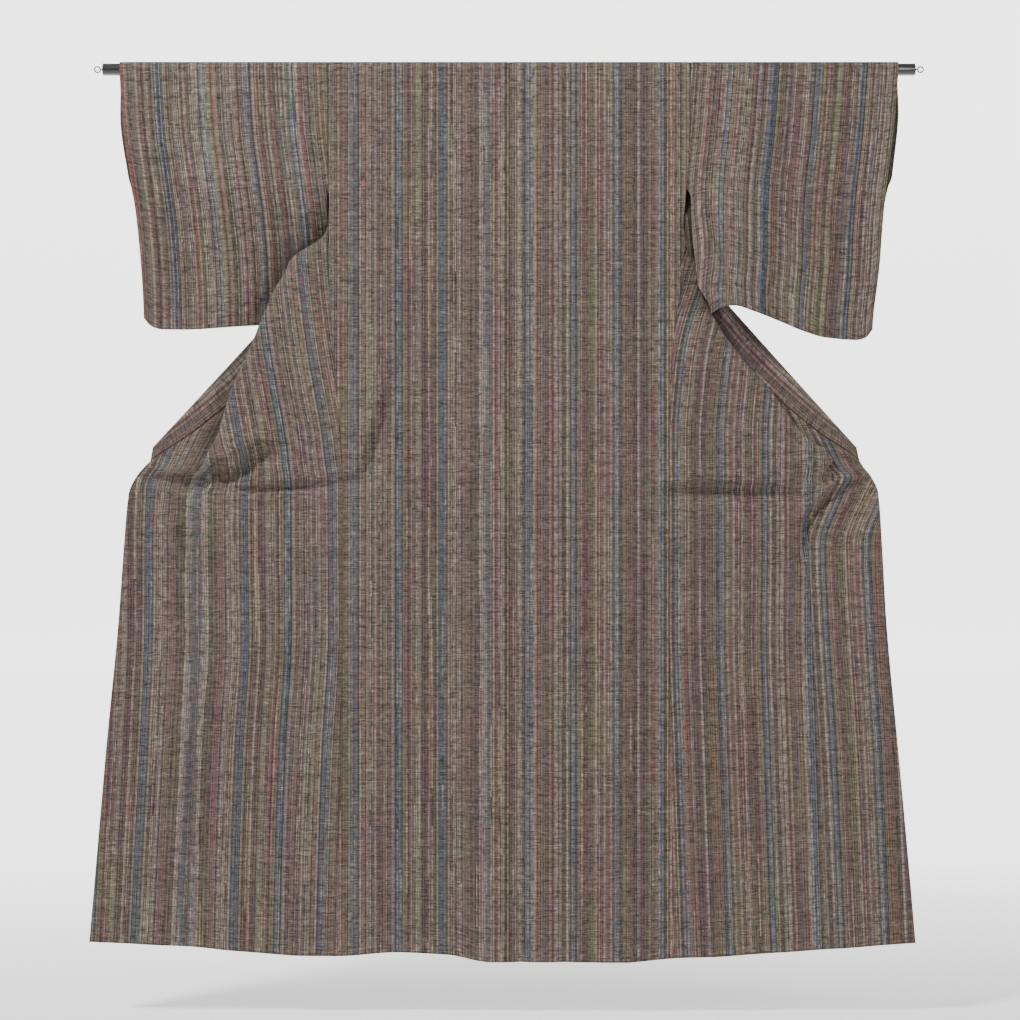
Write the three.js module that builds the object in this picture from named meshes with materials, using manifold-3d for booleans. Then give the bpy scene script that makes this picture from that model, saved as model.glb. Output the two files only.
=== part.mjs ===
// A woven kimono hung by its sleeves on a lacquered rod, seen with its back to -Y.
// Millimetres. X runs along the rod, Y points away from the garment's back, Z is up,
// and the origin is the middle of the rod.
import * as THREE from 'three';
import { mergeVertices } from 'three/addons/utils/BufferGeometryUtils.js';
import Module from 'manifold-3d';

const wasm = await Module();
wasm.setup();

// Cloth and seams
const wall = 2;              // thickness of a single cloth wall
const collarWall = 3;        // the collar is folded double
const seamGap = 0.4;         // space left between two pieces where they are sewn
const layGap = 0.3;          // space under a piece that lies on another

// Rod and its screw eyes
const rodRadius = 10.8;
const rodHalf = 714.5;
const rodSides = 24;
const eyeRadius = 5;
const eyeWire = 1.3;

// Garment
const drapeRadius = 13;      // middle of the cloth where it bends over the rod
const shoulder = 318.6;      // centre back to the sleeve seam
const kneeLevel = -1190;     // below this the rows spread to the uneven hem
const hemLevel = -1534;      // hem at the front edges
const collarSlope = { left: 0.911, right: 0.888 };
const collarStart = 23;      // where the collar's free edge would meet the rod's height
const kensaki = -250;        // top of the narrow front panel
const kensakiWidth = 4;
const panelJoin = -380;      // from here down the front panel ends at the tuck
const foldRadius = 6;        // bend of the cloth at the fold and the tuck
const shortReach = 15;       // least pull of the curve at its points
const hipTurn = -702;        // height at which the tuck opens out flat
const turnEase = 0.7;        // extra seam space where the tuck starts and ends

// Colours of the plain model
const finish = {
  cloth: { color: 0x70655c, roughness: 0.92, metalness: 0 },
  clothDark: { color: 0x62594f, roughness: 0.92, metalness: 0 },
  collar: { color: 0x5d5850, roughness: 0.92, metalness: 0 },
  lacquer: { color: 0x2b2724, roughness: 0.25, metalness: 0.1 },
  wire: { color: 0x8f8c86, roughness: 0.35, metalness: 1 },
};

// Front sections, one row for each height. From the side seam the cloth runs out to
// a fold, back in to a tuck, and out again to the collar seam. Distances are from the
// garment's middle, and depths are Y.
const columns = ['z', 'side', 'fold', 'tuck', 'seam', 'sideY', 'foldY', 'tuckY', 'seamY'];
const front = {
  left: rowsOf(columns, [
    [0, 318.6, 225, 130, 44, 13, 13, 13, 13],
    [-20, 318.6, 235, 120, 76, 13, 13, 13.5, 14],
    [-45, 318.6, 242, 110, 86, 13, 13, 15, 17],
    [-100, 318.6, 262, 97, 104, 12, 13, 19, 25],
    [-205, 318.6, 292, 100, 136, 9, 12, 21, 31],
    [-250, 318.6, 306, 115, 174, 3, 9, 20, 31],
    [-291, 319, 325, 136, 214, -5, 4, 19, 30],
    [-335, 318, 384, 190, 255, -12, -1, 18, 30],
    [-358, 317, 394, 220, 275, -12, -3, 18.5, 30],
    [-380, 316, 408, 249, 295, -12, -4, 18, 30],
    [-448, 312, 438, 303, 364, -12, -6, 17, 28],
    [-504, 308, 460, 345, 415, -12, -7, 16, 25],
    [-560, 303, 487, 387, 465, -12, -8, 14, 22],
    [-640, 296, 511, 457, 560, -12, -9, 9, 15],
    [-689, 293, 531, 506, 632, -12, -10, 5, 8],
    [-702, 292, 520, 517, 645, -12, -10.5, 1.5, 5.5],
    [-716, 291, 505, 532, 656, -12, -11, -2, 3],
    [-745, 291, 470, 541, 669, -12, -11, -7, -2],
    [-835, 291, 440, 544, 677, -12, -11, -9, -6],
    [-974, 291, 440, 544, 687, -12, -11, -9, -6],
    [-1190, 296, 445, 552, 708, -12, -11, -9, -6],
    [-1362, 299, 450, 561, 723, -12, -11, -9, -6],
    [-1534, 301, 455, 569, 738, -12, -11, -9, -6],
  ]),
  right: rowsOf(columns, [
    [0, 318.6, 225, 130, 44, 13, 13, 13, 13],
    [-20, 318.6, 235, 120, 76, 13, 13, 13.5, 14],
    [-45, 318.6, 242, 110, 86, 13, 13, 15, 17],
    [-100, 318.6, 262, 97, 104, 12, 13, 19, 25],
    [-205, 318.6, 290, 100, 136, 9, 12, 21, 31],
    [-250, 318.6, 302, 115, 174, 3, 9, 20, 31],
    [-291, 317, 318, 136, 211, -5, 4, 19, 30],
    [-335, 311, 330, 178, 248, -12, -3, 18, 30],
    [-358, 307, 332, 201, 269, -12, -4, 18.5, 30],
    [-380, 304, 334, 225, 290, -12, -5, 18, 30],
    [-448, 293, 366, 288, 352, -12, -7, 17, 28],
    [-504, 287, 405, 338, 400, -12, -8, 16, 25],
    [-560, 284, 455, 398, 455, -12, -8, 14, 22],
    [-640, 281, 515, 478, 548, -12, -9, 9, 15],
    [-689, 281, 568, 545, 618, -12, -10, 5, 8],
    [-702, 281, 556, 558, 626, -12, -10.5, 1.5, 5.5],
    [-716, 281, 540, 572, 638, -12, -11, -2, 3],
    [-745, 281, 480, 560, 650, -12, -11, -7, -2],
    [-835, 281, 430, 527, 656, -12, -11, -9, -6],
    [-974, 281, 430, 532, 664, -12, -11, -9, -6],
    [-1190, 284, 435, 545, 684, -12, -11, -9, -6],
    [-1362, 287, 440, 553, 700, -12, -11, -9, -6],
    [-1534, 290, 445, 560, 715, -12, -11, -9, -6],
  ]),
};

// Collar stations from the middle of the neck to the end at the hip. The seam edge is
// at the body's own edge, at the given height; the free edge is where the row says.
const collarStations = rowsOf(['z', 'edgeX', 'edgeZ', 'edgeY', 'lift'], [
  [0, 42, -58, 23, 2.5],
  [-20, 80, -62, 29, 3.2],
  [-45, 98, -76, 34, 3.6],
  [-100, 130, -112, 39, 3.8],
  [-205, null, -166, 36, 2],
  [-250, null, -210, 34, 0.6],
  [-291, null, -251, 33, 0],
  [-335, null, -295, 33, 0],
  [-358, null, -317, 33, 0],
  [-380, null, -339, 33, 0],
  [-448, null, -407, 32, 0],
  [-504, null, -463, 29, 0],
  [-560, null, -519, 26, 0],
  [-640, null, -605, 18, 0],
  [-689, null, -664, 10, 0],
]);

// Height of the hem at distances from the middle, left negative
const hem = rowsOf(['x', 'z'], [
  [-738, -1534], [-569, -1541], [-444, -1553], [-301, -1558], [-192, -1551],
  [-110, -1555], [-30, -1569], [200, -1569], [290, -1562], [444, -1555], [560, -1546], [715, -1536],
]);

// Long soft folds that stand up from or sink into the hanging cloth
const folds = rowsOf(['x', 'top', 'bottom', 'depth', 'width'], [
  [22, -735, -1700, 6, 12],
  [98, -745, -1700, 5, 12],
  [-150, -900, -1700, -5, 45],
  [190, -760, -1700, -5, 40],
  [-232, -520, -1100, 4, 34],
  [-372, -780, -1700, -6, 34],
  [-455, -900, -1700, 6, 36],
  [-620, -880, -1700, -6, 40],
  [360, -800, -1700, -6, 36],
  [450, -850, -1700, 6, 40],
  [600, -880, -1700, -6, 40],
]);

// The mark left across the hips, as a low roll with a sunk line under it
const hipRoll = { z: -712, depth: -6, width: 14, from: 240 };

// Sleeves, one row for each height
const sleeveColumns = ['z', 'inner', 'outer', 'cuffLap', 'swing', 'lean', 'mouth', 'cuff'];
const sleeve = {
  left: {
    power: 1.2,
    rows: rowsOf(sleeveColumns, [
      [0, 318.6, 684, 0, 0, 0, 26, 26],
      [-100, 318.6, 678, 7, 0, 1, 25, 24],
      [-190, 318.6, 665, 6, 0, 2, 22, 20],
      [-205, 318.6, 663, 3, 1, 3, 22, 12],
      [-250, 319, 657, 0, 18, 4, 20, 3.2],
      [-291, 319, 653, 0, 40, 5, 18, 3.2],
      [-335, 319.5, 649, 0, 65, 6, 16, 3.2],
      [-380, 320, 646, 0, 80, 7, 14, 3.2],
      [-425, 322, 644, 0, 92, 8, 13, 3.2],
      [-460, 324, 643, 0, 100, 9, 12, 3.2],
    ]),
    bottom: rowsOf(['u', 'z'], [
      [0, -442], [0.37, -446], [0.5, -449], [0.8, -456], [0.9, -456], [0.96, -451], [1, -436],
    ]),
  },
  right: {
    power: 1.2,
    rows: rowsOf(sleeveColumns, [
      [0, 318.6, 684, 1, 0, 0, 26, 26],
      [-100, 318.6, 676, 10, 0, 0, 25, 24],
      [-190, 318.6, 665, 10, 0, 0, 22, 20],
      [-205, 318.6, 663, 5, -1, 0, 22, 12],
      [-250, 319, 659, 0, -10, 0, 17, 3.2],
      [-291, 320, 656, 0, -20, 0, 14, 3.2],
      [-335, 324, 653, 0, -30, 0, 13, 3.2],
      [-380, 329, 648, 0, -38, 0, 12, 3.2],
      [-425, 350, 642, 0, -44, 0, 11, 3.2],
      [-478, 358, 638, 0, -48, 0, 10, 3.2],
    ]),
    bottom: rowsOf(['u', 'z'], [
      [0, -433], [0.08, -421], [0.16, -418], [0.26, -427], [0.42, -445], [0.58, -463],
      [0.7, -472], [0.9, -476], [0.96, -472], [1, -457],
    ]),
  },
};

// The over-collar covers the collar from the neck down to this height
const overCollarEnd = -380;
const overCollarGap = 1.6;   // space under it, for the turn at the neck
const collarClear = 0.8;     // seam edge of the collar, from the body's edge

// Counts
const bodyShares = [0, 0.04, 0.09, 0.17, 0.26, 0.33, 0.39, 0.44, 0.48, 0.52, 0.57, 0.63, 0.68, 0.74, 0.83, 0.92, 1];
const panelShares = [0, 0.06, 0.14, 0.28, 0.5, 0.75, 1];
const collarShares = [0, 0.25, 0.5, 0.75, 1];
const sleeveSpots = [0, 0.12, 0.25, 0.38, 0.5, 0.63, 0.76, 0.87, 0.95, 1];
const turnSteps = 3;
const topAngles = [-67.5, -45, -22.5, 0, 22.5, 45];

function rowsOf(names, table) {
  return table.map(row => Object.fromEntries(names.map((name, i) => [name, row[i]])));
}

// A smooth curve through a table's column that never overshoots its rows
function through(table, key, name) {
  const rows = [...table].sort((a, b) => a[key] - b[key]);
  const at = rows.map(row => row[key]);
  const values = rows.map(row => row[name]);
  const steps = at.slice(1).map((x, i) => (values[i + 1] - values[i]) / (x - at[i]));
  const slopes = values.map((_, i) => {
    if (i === 0) return steps[0];
    if (i === values.length - 1) return steps.at(-1);
    const [before, after] = [steps[i - 1], steps[i]];
    return before * after <= 0 ? 0 : 2 * before * after / (before + after);
  });
  return x => {
    if (x <= at[0]) return values[0];
    if (x >= at.at(-1)) return values.at(-1);
    const i = at.findIndex(edge => edge > x) - 1;
    const span = at[i + 1] - at[i];
    return hermite(values[i], slopes[i] * span, values[i + 1], slopes[i + 1] * span, (x - at[i]) / span);
  };
}

function hermite(a, fromA, b, toB, t) {
  const rest = 1 - t;
  return a * rest * rest * (1 + 2 * t) + fromA * t * rest * rest
    + b * t * t * (3 - 2 * t) - toB * t * t * rest;
}

function smooth(from, to, x) {
  const t = Math.min(1, Math.max(0, (x - from) / (to - from)));
  return t * t * (3 - 2 * t);
}

function bell(x, width) {
  return Math.exp(-((x / width) ** 2));
}

const mix = (a, b, t) => a + (b - a) * t;
const hemAt = through(hem, 'x', 'z');

// Lowers a row to the uneven hem, and lays the soft folds and the hip mark over it
function settle(x, y, z) {
  const low = z >= kneeLevel ? z
    : kneeLevel + (z - kneeLevel) / (hemLevel - kneeLevel) * (hemAt(x) - kneeLevel);
  let depth = y;
  for (const fold of folds) {
    depth += fold.depth * bell(x - fold.x, fold.width)
      * smooth(fold.top, fold.top - 160, low) * smooth(fold.bottom, fold.bottom + 160, low);
  }
  depth += hipRoll.depth * bell(low - hipRoll.z, hipRoll.width)
    * smooth(hipRoll.from, hipRoll.from + 120, Math.abs(x));
  return [x, depth, low];
}

// One side's front: a section at each height, from the side seam to the collar seam
function makeFront(side) {
  const table = front[side];
  const sign = side === 'left' ? -1 : 1;
  const track = Object.fromEntries(columns.slice(1).map(name => [name, through(table, 'z', name)]));
  const section = z => {
    const points = [['side', 'sideY'], ['fold', 'foldY'], ['tuck', 'tuckY'], ['seam', 'seamY']]
      .map(([x, y]) => [track[x](z), track[y](z)]);
    const slope = k => {
      const [a, b] = [points[Math.max(0, k - 1)], points[Math.min(3, k + 1)]];
      const chord = Math.hypot(b[0] - a[0], b[1] - a[1]);
      const legs = [k - 1, k].filter(i => i >= 0 && i < 3).map(i => Math.abs(points[i + 1][0] - points[i][0]));
      const reach = Math.max(shortReach, Math.min(...legs));
      const turn = smooth(0, 16, (k === 1 ? points[1][0] - Math.max(a[0], b[0]) : 0)
        + (k === 2 ? Math.min(a[0], b[0]) - points[2][0] : 0));
      const round = Math.sqrt(6 * foldRadius * (legs[0] + legs.at(-1)) / 2);
      return [mix((b[0] - a[0]) / chord * reach, 0, turn), mix((b[1] - a[1]) / chord * reach, round, turn)];
    };
    return t => {
      const k = Math.min(2, Math.floor(t));
      const [a, b, from, to] = [points[k], points[k + 1], slope(k), slope(k + 1)];
      return [0, 1].map(i => hermite(a[i], from[i], b[i], to[i], t - k));
    };
  };
  // Place along the section where the front panel ends and the narrow panel begins
  const split = z => mix(3, 2, smooth(kensaki, panelJoin, z));
  return {
    sign,
    split,
    sideX: track.side,
    seamX: track.seam,
    seamY: track.seamY,
    zs: table.map(row => row.z),
    at: (z, t) => {
      const [x, y] = section(z)(t);
      return settle(sign * x, y, z);
    },
    // Section value a given distance back from t
    back: (z, t, distance) => {
      const [a, b] = [section(z)(t), section(z)(t - 0.01)];
      return t - 0.01 * distance / Math.hypot(a[0] - b[0], a[1] - b[1]);
    },
  };
}

// Points along one row, with one close to each end that gives the cloth's slope there
const nearEdge = 0.01;
function strip(place, shares) {
  return { points: shares.map(place), first: place(nearEdge), last: place(1 - nearEdge) };
}

// Each point of the strips, moved out along the cloth's own direction there
function movedOut(strips, distance, ring = false) {
  const rows = strips.length;
  const cols = strips[0].points.length;
  const vectors = strips.map(({ points }) => points.map(p => new THREE.Vector3(...p)));
  const rowAt = i => vectors[ring ? (i + rows) % rows : Math.min(rows - 1, Math.max(0, i))];
  return vectors.map((points, i) => points.map((point, j) => {
    const down = rowAt(i + 1)[j].clone().sub(rowAt(i - 1)[j]);
    const before = j === cols - 1 ? new THREE.Vector3(...strips[i].last) : points[Math.max(0, j - 1)];
    const after = j === 0 ? new THREE.Vector3(...strips[i].first) : points[Math.min(cols - 1, j + 1)];
    const normal = down.cross(after.clone().sub(before)).normalize();
    return point.clone().addScaledVector(normal, distance).toArray();
  }));
}

// A cloth wall on strips of points: both faces, and the edges that close it
function clothWall(strips, thickness, ring = false) {
  const rows = strips.length;
  const cols = strips[0].points.length;
  const positions = [thickness / 2, -thickness / 2].flatMap(offset => movedOut(strips, offset, ring)).flat(2);
  const under = rows * cols;
  const index = [];
  const quad = (a, b, c, d) => index.push(a, b, c, a, c, d);
  const spans = ring ? rows : rows - 1;
  for (let i = 0; i < spans; i++) {
    const [here, next] = [i * cols, (i + 1) % rows * cols];
    for (let j = 0; j < cols - 1; j++) {
      quad(here + j, next + j, next + j + 1, here + j + 1);
      quad(under + here + j, under + here + j + 1, under + next + j + 1, under + next + j);
    }
    const last = cols - 1;
    quad(here, under + here, under + next, next);
    quad(here + last, next + last, under + next + last, under + here + last);
  }
  if (!ring) {
    const bottom = (rows - 1) * cols;
    for (let j = 0; j < cols - 1; j++) {
      quad(j, j + 1, under + j + 1, under + j);
      quad(bottom + j, under + bottom + j, under + bottom + j + 1, bottom + j + 1);
    }
  }
  const geometry = new THREE.BufferGeometry();
  geometry.setAttribute('position', new THREE.Float32BufferAttribute(positions, 3));
  geometry.setIndex(index);
  return facingOut(geometry);
}

// Turns a closed geometry's faces outward
function facingOut(geometry) {
  const at = geometry.getAttribute('position');
  const order = Array.from(geometry.getIndex().array);
  const corner = i => new THREE.Vector3().fromBufferAttribute(at, order[i]);
  let volume = 0;
  for (let i = 0; i < order.length; i += 3) volume += corner(i).dot(corner(i + 1).cross(corner(i + 2)));
  if (volume < 0) {
    for (let i = 0; i < order.length; i += 3) [order[i], order[i + 1]] = [order[i + 1], order[i]];
    geometry.setIndex(order);
  }
  return geometry;
}

function named(name, geometry, look) {
  const mesh = new THREE.Mesh(geometry, new THREE.MeshStandardMaterial(finish[look]));
  mesh.name = name;
  return mesh;
}

// Half of the body in one length: up the back, over the rod and down the front
function bodyHalf(side) {
  const shape = makeFront(side);
  const { sign } = shape;
  const inset = seamGap / 2;
  const strips = [];
  const backRows = shape.zs.filter(z => z < 0 && z !== -20 && z !== -45).reverse();
  for (const z of [...backRows, 0]) {
    const edge = shape.sideX(z) - inset;
    const depth = mix(-drapeRadius, -12, smooth(0, -300, z));
    strips.push(strip(j => settle(sign * mix(inset, edge, j), depth, z), bodyShares));
  }
  const neck = through(rowsOf(['angle', 'x'], [[45, inset], [60, inset], [72, 26], [90, 44]]), 'angle', 'x');
  for (const degrees of [...topAngles, 60, 72]) {
    const angle = THREE.MathUtils.degToRad(degrees);
    const [y, z] = [drapeRadius * Math.sin(angle), drapeRadius * Math.cos(angle)];
    strips.push(strip(j => [sign * mix(neck(degrees), shoulder - inset, j), y, z], bodyShares));
  }
  for (const z of shape.zs) {
    const end = shape.back(z, shape.split(z), z < kensaki ? inset : inset + (z === kensaki ? kensakiWidth : 0));
    const start = z < -300 ? inset : -inset;
    strips.push(strip(j => {
      const [x, y, low] = shape.at(z, end * (1 - j));
      return [x + sign * start * j, y, low];
    }, bodyShares));
  }
  return named(`body_${side}`, clothWall(strips, wall), 'cloth');
}

// The narrow panel between the front and the collar, down to the hem
function narrowPanel(side) {
  const shape = makeFront(side);
  const strips = shape.zs.filter(z => z <= kensaki).map(z => {
    const from = z === kensaki ? shape.back(z, 3, kensakiWidth)
      : shape.back(z, shape.split(z), -seamGap / 2 - (z > panelJoin || Math.abs(z - hipTurn) < 20 ? turnEase : 0));
    const end = shape.back(z, 3, seamGap / 2);
    return strip(j => shape.at(z, mix(from, end, j)), panelShares);
  });
  return named(`front_panel_${side}`, clothWall(strips, wall), 'clothDark');
}

// Pairs of points on the collar's seam edge and free edge, from the neck to one end
function collarPairs(side) {
  const shape = makeFront(side);
  return collarStations.map(({ z, edgeX, edgeZ, edgeY, lift }) => {
    const free = edgeX ?? collarStart - collarSlope[side] * edgeZ;
    const seam = new THREE.Vector3(...shape.at(z, 3)).add(new THREE.Vector3(0, lift, 0));
    const edge = new THREE.Vector3(shape.sign * free, edgeY, edgeZ);
    return [seam, edge];
  });
}

function collarLine() {
  const middle = [new THREE.Vector3(0, 13.6, 5.5), new THREE.Vector3(0, 20.5, -55)];
  const shoulderPair = sign => [new THREE.Vector3(sign * 26, 14.8, 3.5), new THREE.Vector3(sign * 22, 21, -56)];
  return [
    ...collarPairs('left').reverse(), shoulderPair(-1), middle, shoulderPair(1), ...collarPairs('right'),
  ];
}

// Strips across the collar, their seam edge just clear of the body
function collarStrips() {
  return collarLine().map(([seam, edge]) => {
    const across = edge.clone().sub(seam);
    const start = collarClear / across.length();
    return strip(j => seam.clone().addScaledVector(across, mix(start, 1, j)).toArray(), collarShares);
  });
}

function collar() {
  return named('collar', clothWall(collarStrips(), collarWall), 'collar');
}

// The over-collar lies on the collar round the neck: its points, moved out
function overCollar() {
  const strips = collarStrips();
  const offset = (collarWall + wall) / 2 + overCollarGap;
  const middle = strips.length >> 1;
  const away = Math.sign(movedOut(strips, offset)[middle][2][1] - strips[middle].points[2][1]);
  const raised = movedOut(strips, away * offset)
    .map((points, i) => ({ points, low: strips[i].points[0][2] }))
    .filter(({ low }) => low >= overCollarEnd - 1)
    .map(({ points }) => ({ points, first: points[1], last: points.at(-2) }));
  return named('over_collar', clothWall(raised, wall), 'clothDark');
}

// A sleeve: a flat bag over the rod, open at the cuff above and at the inner edge below
function sleeveBag(side) {
  const { rows, bottom, power } = sleeve[side];
  const sign = side === 'left' ? -1 : 1;
  const track = Object.fromEntries(sleeveColumns.slice(1).map(name => [name, through(rows, 'z', name)]));
  const bottomAt = through(bottom, 'u', 'z');
  const heights = rows.map(row => row.z / rows.at(-1).z);
  const inset = seamGap / 2;
  const xAt = (u, z, far) => sign * mix(track.inner(z) + inset, track.outer(z) + (far ? track.cuffLap(z) : 0), u);
  const nearY = (u, z) => -drapeRadius + track.swing(z) * (1 - u) ** power
    + mix(0, drapeRadius - 2, u * smooth(-180, -300, z)) + track.lean(z) * u;
  const gapAt = (u, z) => mix(track.mouth(z), track.cuff(z), u ** 3) * mix(1, 0.55, 4 * u * (1 - u) * smooth(-60, -300, z));
  const ring = u => {
    const floor = bottomAt(u);
    const zs = heights.map(share => share * floor);
    const turn = gapAt(u, floor) / 2;
    const near = zs.map((z, k) => (k === zs.length - 1 ? z + turn : z)).map(z => [xAt(u, z, false), nearY(u, z), z]);
    const far = zs.map((z, k) => (k === zs.length - 1 ? z + turn : z))
      .map(z => [xAt(u, z, true), nearY(u, z) + gapAt(u, z), z]).reverse();
    const under = Array.from({ length: turnSteps - 1 }, (_, k) => {
      const angle = Math.PI * (k + 1) / turnSteps;
      const z = floor + turn;
      const middle = nearY(u, z) + gapAt(u, z) / 2;
      return [xAt(u, z, false), middle - gapAt(u, z) / 2 * Math.cos(angle), z - turn * Math.sin(angle)];
    });
    const over = [...topAngles, 67.5].reverse().map(degrees => {
      const angle = THREE.MathUtils.degToRad(degrees);
      return [xAt(u, 0, false), drapeRadius * Math.sin(angle), drapeRadius * Math.cos(angle)];
    });
    return [...near, ...under, ...far, ...over];
  };
  const rings = sleeveSpots.map(ring);
  const [first, last] = [ring(nearEdge), ring(1 - nearEdge)];
  const strips = first.map((_, i) => ({ points: rings.map(points => points[i]), first: first[i], last: last[i] }));
  return named(`sleeve_${side}`, clothWall(strips, wall, true), 'cloth');
}

function rod() {
  const geometry = new THREE.CylinderGeometry(rodRadius, rodRadius, 2 * rodHalf, rodSides);
  geometry.rotateZ(Math.PI / 2);
  return named('rod', geometry, 'lacquer');
}

function solidOf(geometry) {
  geometry.deleteAttribute('normal');
  geometry.deleteAttribute('uv');
  const merged = mergeVertices(geometry);
  return new wasm.Manifold(new wasm.Mesh({
    numProp: 3,
    vertProperties: new Float32Array(merged.getAttribute('position').array),
    triVerts: new Uint32Array(merged.getIndex().array),
  }));
}

// A screw eye that stands out from one end of the rod
function screwEye(side, sign) {
  const shankLength = eyeRadius;
  const shank = new THREE.CylinderGeometry(eyeWire, eyeWire, shankLength, 10);
  shank.rotateZ(Math.PI / 2);
  shank.translate(sign * (rodHalf + layGap + shankLength / 2), 0, 0);
  const loop = new THREE.TorusGeometry(eyeRadius, eyeWire, 8, 20);
  loop.rotateX(Math.PI / 2);
  loop.translate(sign * (rodHalf + layGap + shankLength + eyeRadius - eyeWire / 2), 0, 0);
  const mesh = solidOf(shank).add(solidOf(loop)).getMesh();
  const geometry = new THREE.BufferGeometry();
  geometry.setAttribute('position', new THREE.Float32BufferAttribute(mesh.vertProperties, 3));
  geometry.setIndex(Array.from(mesh.triVerts));
  return named(`screw_eye_${side}`, geometry, 'wire');
}

const kimono = new THREE.Group();
kimono.add(
  bodyHalf('left'), bodyHalf('right'),
  narrowPanel('left'), narrowPanel('right'),
  collar(), overCollar(),
  sleeveBag('left'), sleeveBag('right'),
  rod(), screwEye('left', -1), screwEye('right', 1),
);

export default kimono;
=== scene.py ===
"""A striped tsumugi kimono hung by its sleeves on a lacquered rod, its back to the camera.

Cloth sizes are in millimetres, as a maker would write them, and every mesh is in metres.
X runs along the rod, Y points away from the camera and Z is up; the rod's middle is the origin.
"""

from __future__ import annotations

import logging
import math
from dataclasses import dataclass, field
from enum import Enum
from functools import cached_property

import bpy
import numpy as np
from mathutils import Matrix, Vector


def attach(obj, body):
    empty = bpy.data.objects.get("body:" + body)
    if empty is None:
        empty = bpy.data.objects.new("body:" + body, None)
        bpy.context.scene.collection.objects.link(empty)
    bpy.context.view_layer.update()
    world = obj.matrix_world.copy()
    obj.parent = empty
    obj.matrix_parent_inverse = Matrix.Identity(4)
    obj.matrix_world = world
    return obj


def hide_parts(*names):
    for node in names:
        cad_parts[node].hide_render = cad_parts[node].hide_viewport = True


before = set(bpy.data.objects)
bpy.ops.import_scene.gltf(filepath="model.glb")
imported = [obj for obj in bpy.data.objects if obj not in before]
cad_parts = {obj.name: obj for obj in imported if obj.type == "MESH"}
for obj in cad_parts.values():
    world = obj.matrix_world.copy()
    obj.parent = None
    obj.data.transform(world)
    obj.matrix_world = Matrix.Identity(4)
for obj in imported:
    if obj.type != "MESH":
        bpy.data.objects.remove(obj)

log = logging.getLogger("kimono")

MM = 0.001
CLOTH_THICKNESS = 0.9      # the woven silk
COLLAR_THICKNESS = 3.0     # the collar is folded double over a stiffening
DRAPE_RADIUS = 13.0        # middle of the cloth where it bends over the rod
SHOULDER = 318.6           # centre back to the sleeve seam
SEAM_HOLD = 0.35           # each sewn edge stops this short of the seam line
FINE = 5.5                 # spacing of the cloth's mesh lines
KNEE_LEVEL = -1190.0       # below this the rows spread to the uneven hem
HEM_LEVEL = -1534.0        # hem at the front edges
FOLD_RADIUS = 6.0          # bend of the cloth at the fold and the tuck
FULL_TURN = 16.0           # a fold that stands out this far turns right back on itself
SHORT_REACH = 15.0         # least pull of a section's curve at its points
SEAM_COLUMNS = (0.0, 0.004, 0.009, 0.016)   # mesh columns close to a sewn edge
SEAM_DIP = 0.4             # the cloth turns under this much at a pressed seam
SEAM_TURN = 2.0            # width over which it does
UNDERLAY = 1.45            # a seam allowance lies this far under the cloth
ALLOWANCE = 8.0            # width of a seam allowance
NO_ALLOWANCE = 0.2         # a hem's or an open edge's, so that its mesh lines stay apart
ALLOWANCE_COLUMNS = (1.0, 0.5, 0.06)        # its mesh columns, as shares of its width


class Side(Enum):
    """The garment's two halves, as the camera sees them."""

    LEFT = -1
    RIGHT = 1

    @property
    def word(self) -> str:
        """The side's name in lower case."""
        return self.name.lower()


def smooth(start: float, end: float, x: np.ndarray | float) -> np.ndarray:
    """A soft step from 0 at start to 1 at end."""
    t = np.clip((np.asarray(x, float) - start) / (end - start), 0.0, 1.0)
    return t * t * (3.0 - 2.0 * t)


def bell(x: np.ndarray, width: float) -> np.ndarray:
    """A soft bump of height 1, about two widths across."""
    return np.exp(-((x / width) ** 2))


def mix(a: np.ndarray | float, b: np.ndarray | float, t: np.ndarray | float) -> np.ndarray:
    """The value a share t of the way from a to b."""
    return a + (b - a) * t


def hermite(
    a: np.ndarray, from_a: np.ndarray, b: np.ndarray, to_b: np.ndarray, t: np.ndarray
) -> np.ndarray:
    """A cubic from a to b with the given slopes at its ends.

    Args:
        a: the start.
        from_a: slope at the start.
        b: the end.
        to_b: slope at the end.
        t: share of the way.

    Returns:
        The cubic's value.
    """
    rest = 1.0 - t
    start = a * rest * rest * (1 + 2 * t) + from_a * t * rest * rest
    return start + b * t * t * (3 - 2 * t) - to_b * t * t * rest


def spaced(start: float, end: float, step: float) -> np.ndarray:
    """Evenly spaced values from start to end, about a step apart."""
    return np.linspace(start, end, max(1, math.ceil(abs(end - start) / step)) + 1)


def columns(step: float) -> np.ndarray:
    """Shares across a piece from 0 to 1, about a step apart and closer at the edges."""
    edge = np.array(SEAM_COLUMNS)
    return np.concatenate([edge, spaced(0.03, 0.97, step), 1 - edge[::-1]])


def run_lengths(grid: np.ndarray, axis: int) -> np.ndarray:
    """Distance along the cloth from its first line of points.

    Args:
        grid: rows by columns of points.
        axis: 0 to run down the rows, 1 to run across the columns.

    Returns:
        Rows by columns of distance.
    """
    steps = np.linalg.norm(np.diff(grid, axis=axis), axis=-1)
    total = np.cumsum(steps, axis=axis)
    return np.concatenate([np.zeros_like(np.take(total, [0], axis=axis)), total], axis=axis)


def facing(grid: np.ndarray, joined: bool = False) -> np.ndarray:
    """The direction square to the cloth at each point.

    Args:
        grid: rows by columns of points.
        joined: whether the last row meets the first.

    Returns:
        Unit vectors.
    """
    if joined:
        down = np.roll(grid, -1, 0) - np.roll(grid, 1, 0)
    else:
        down = np.gradient(grid, axis=0)
    normal = np.cross(down, np.gradient(grid, axis=1))
    return normal / np.linalg.norm(normal, axis=-1, keepdims=True)


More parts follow.
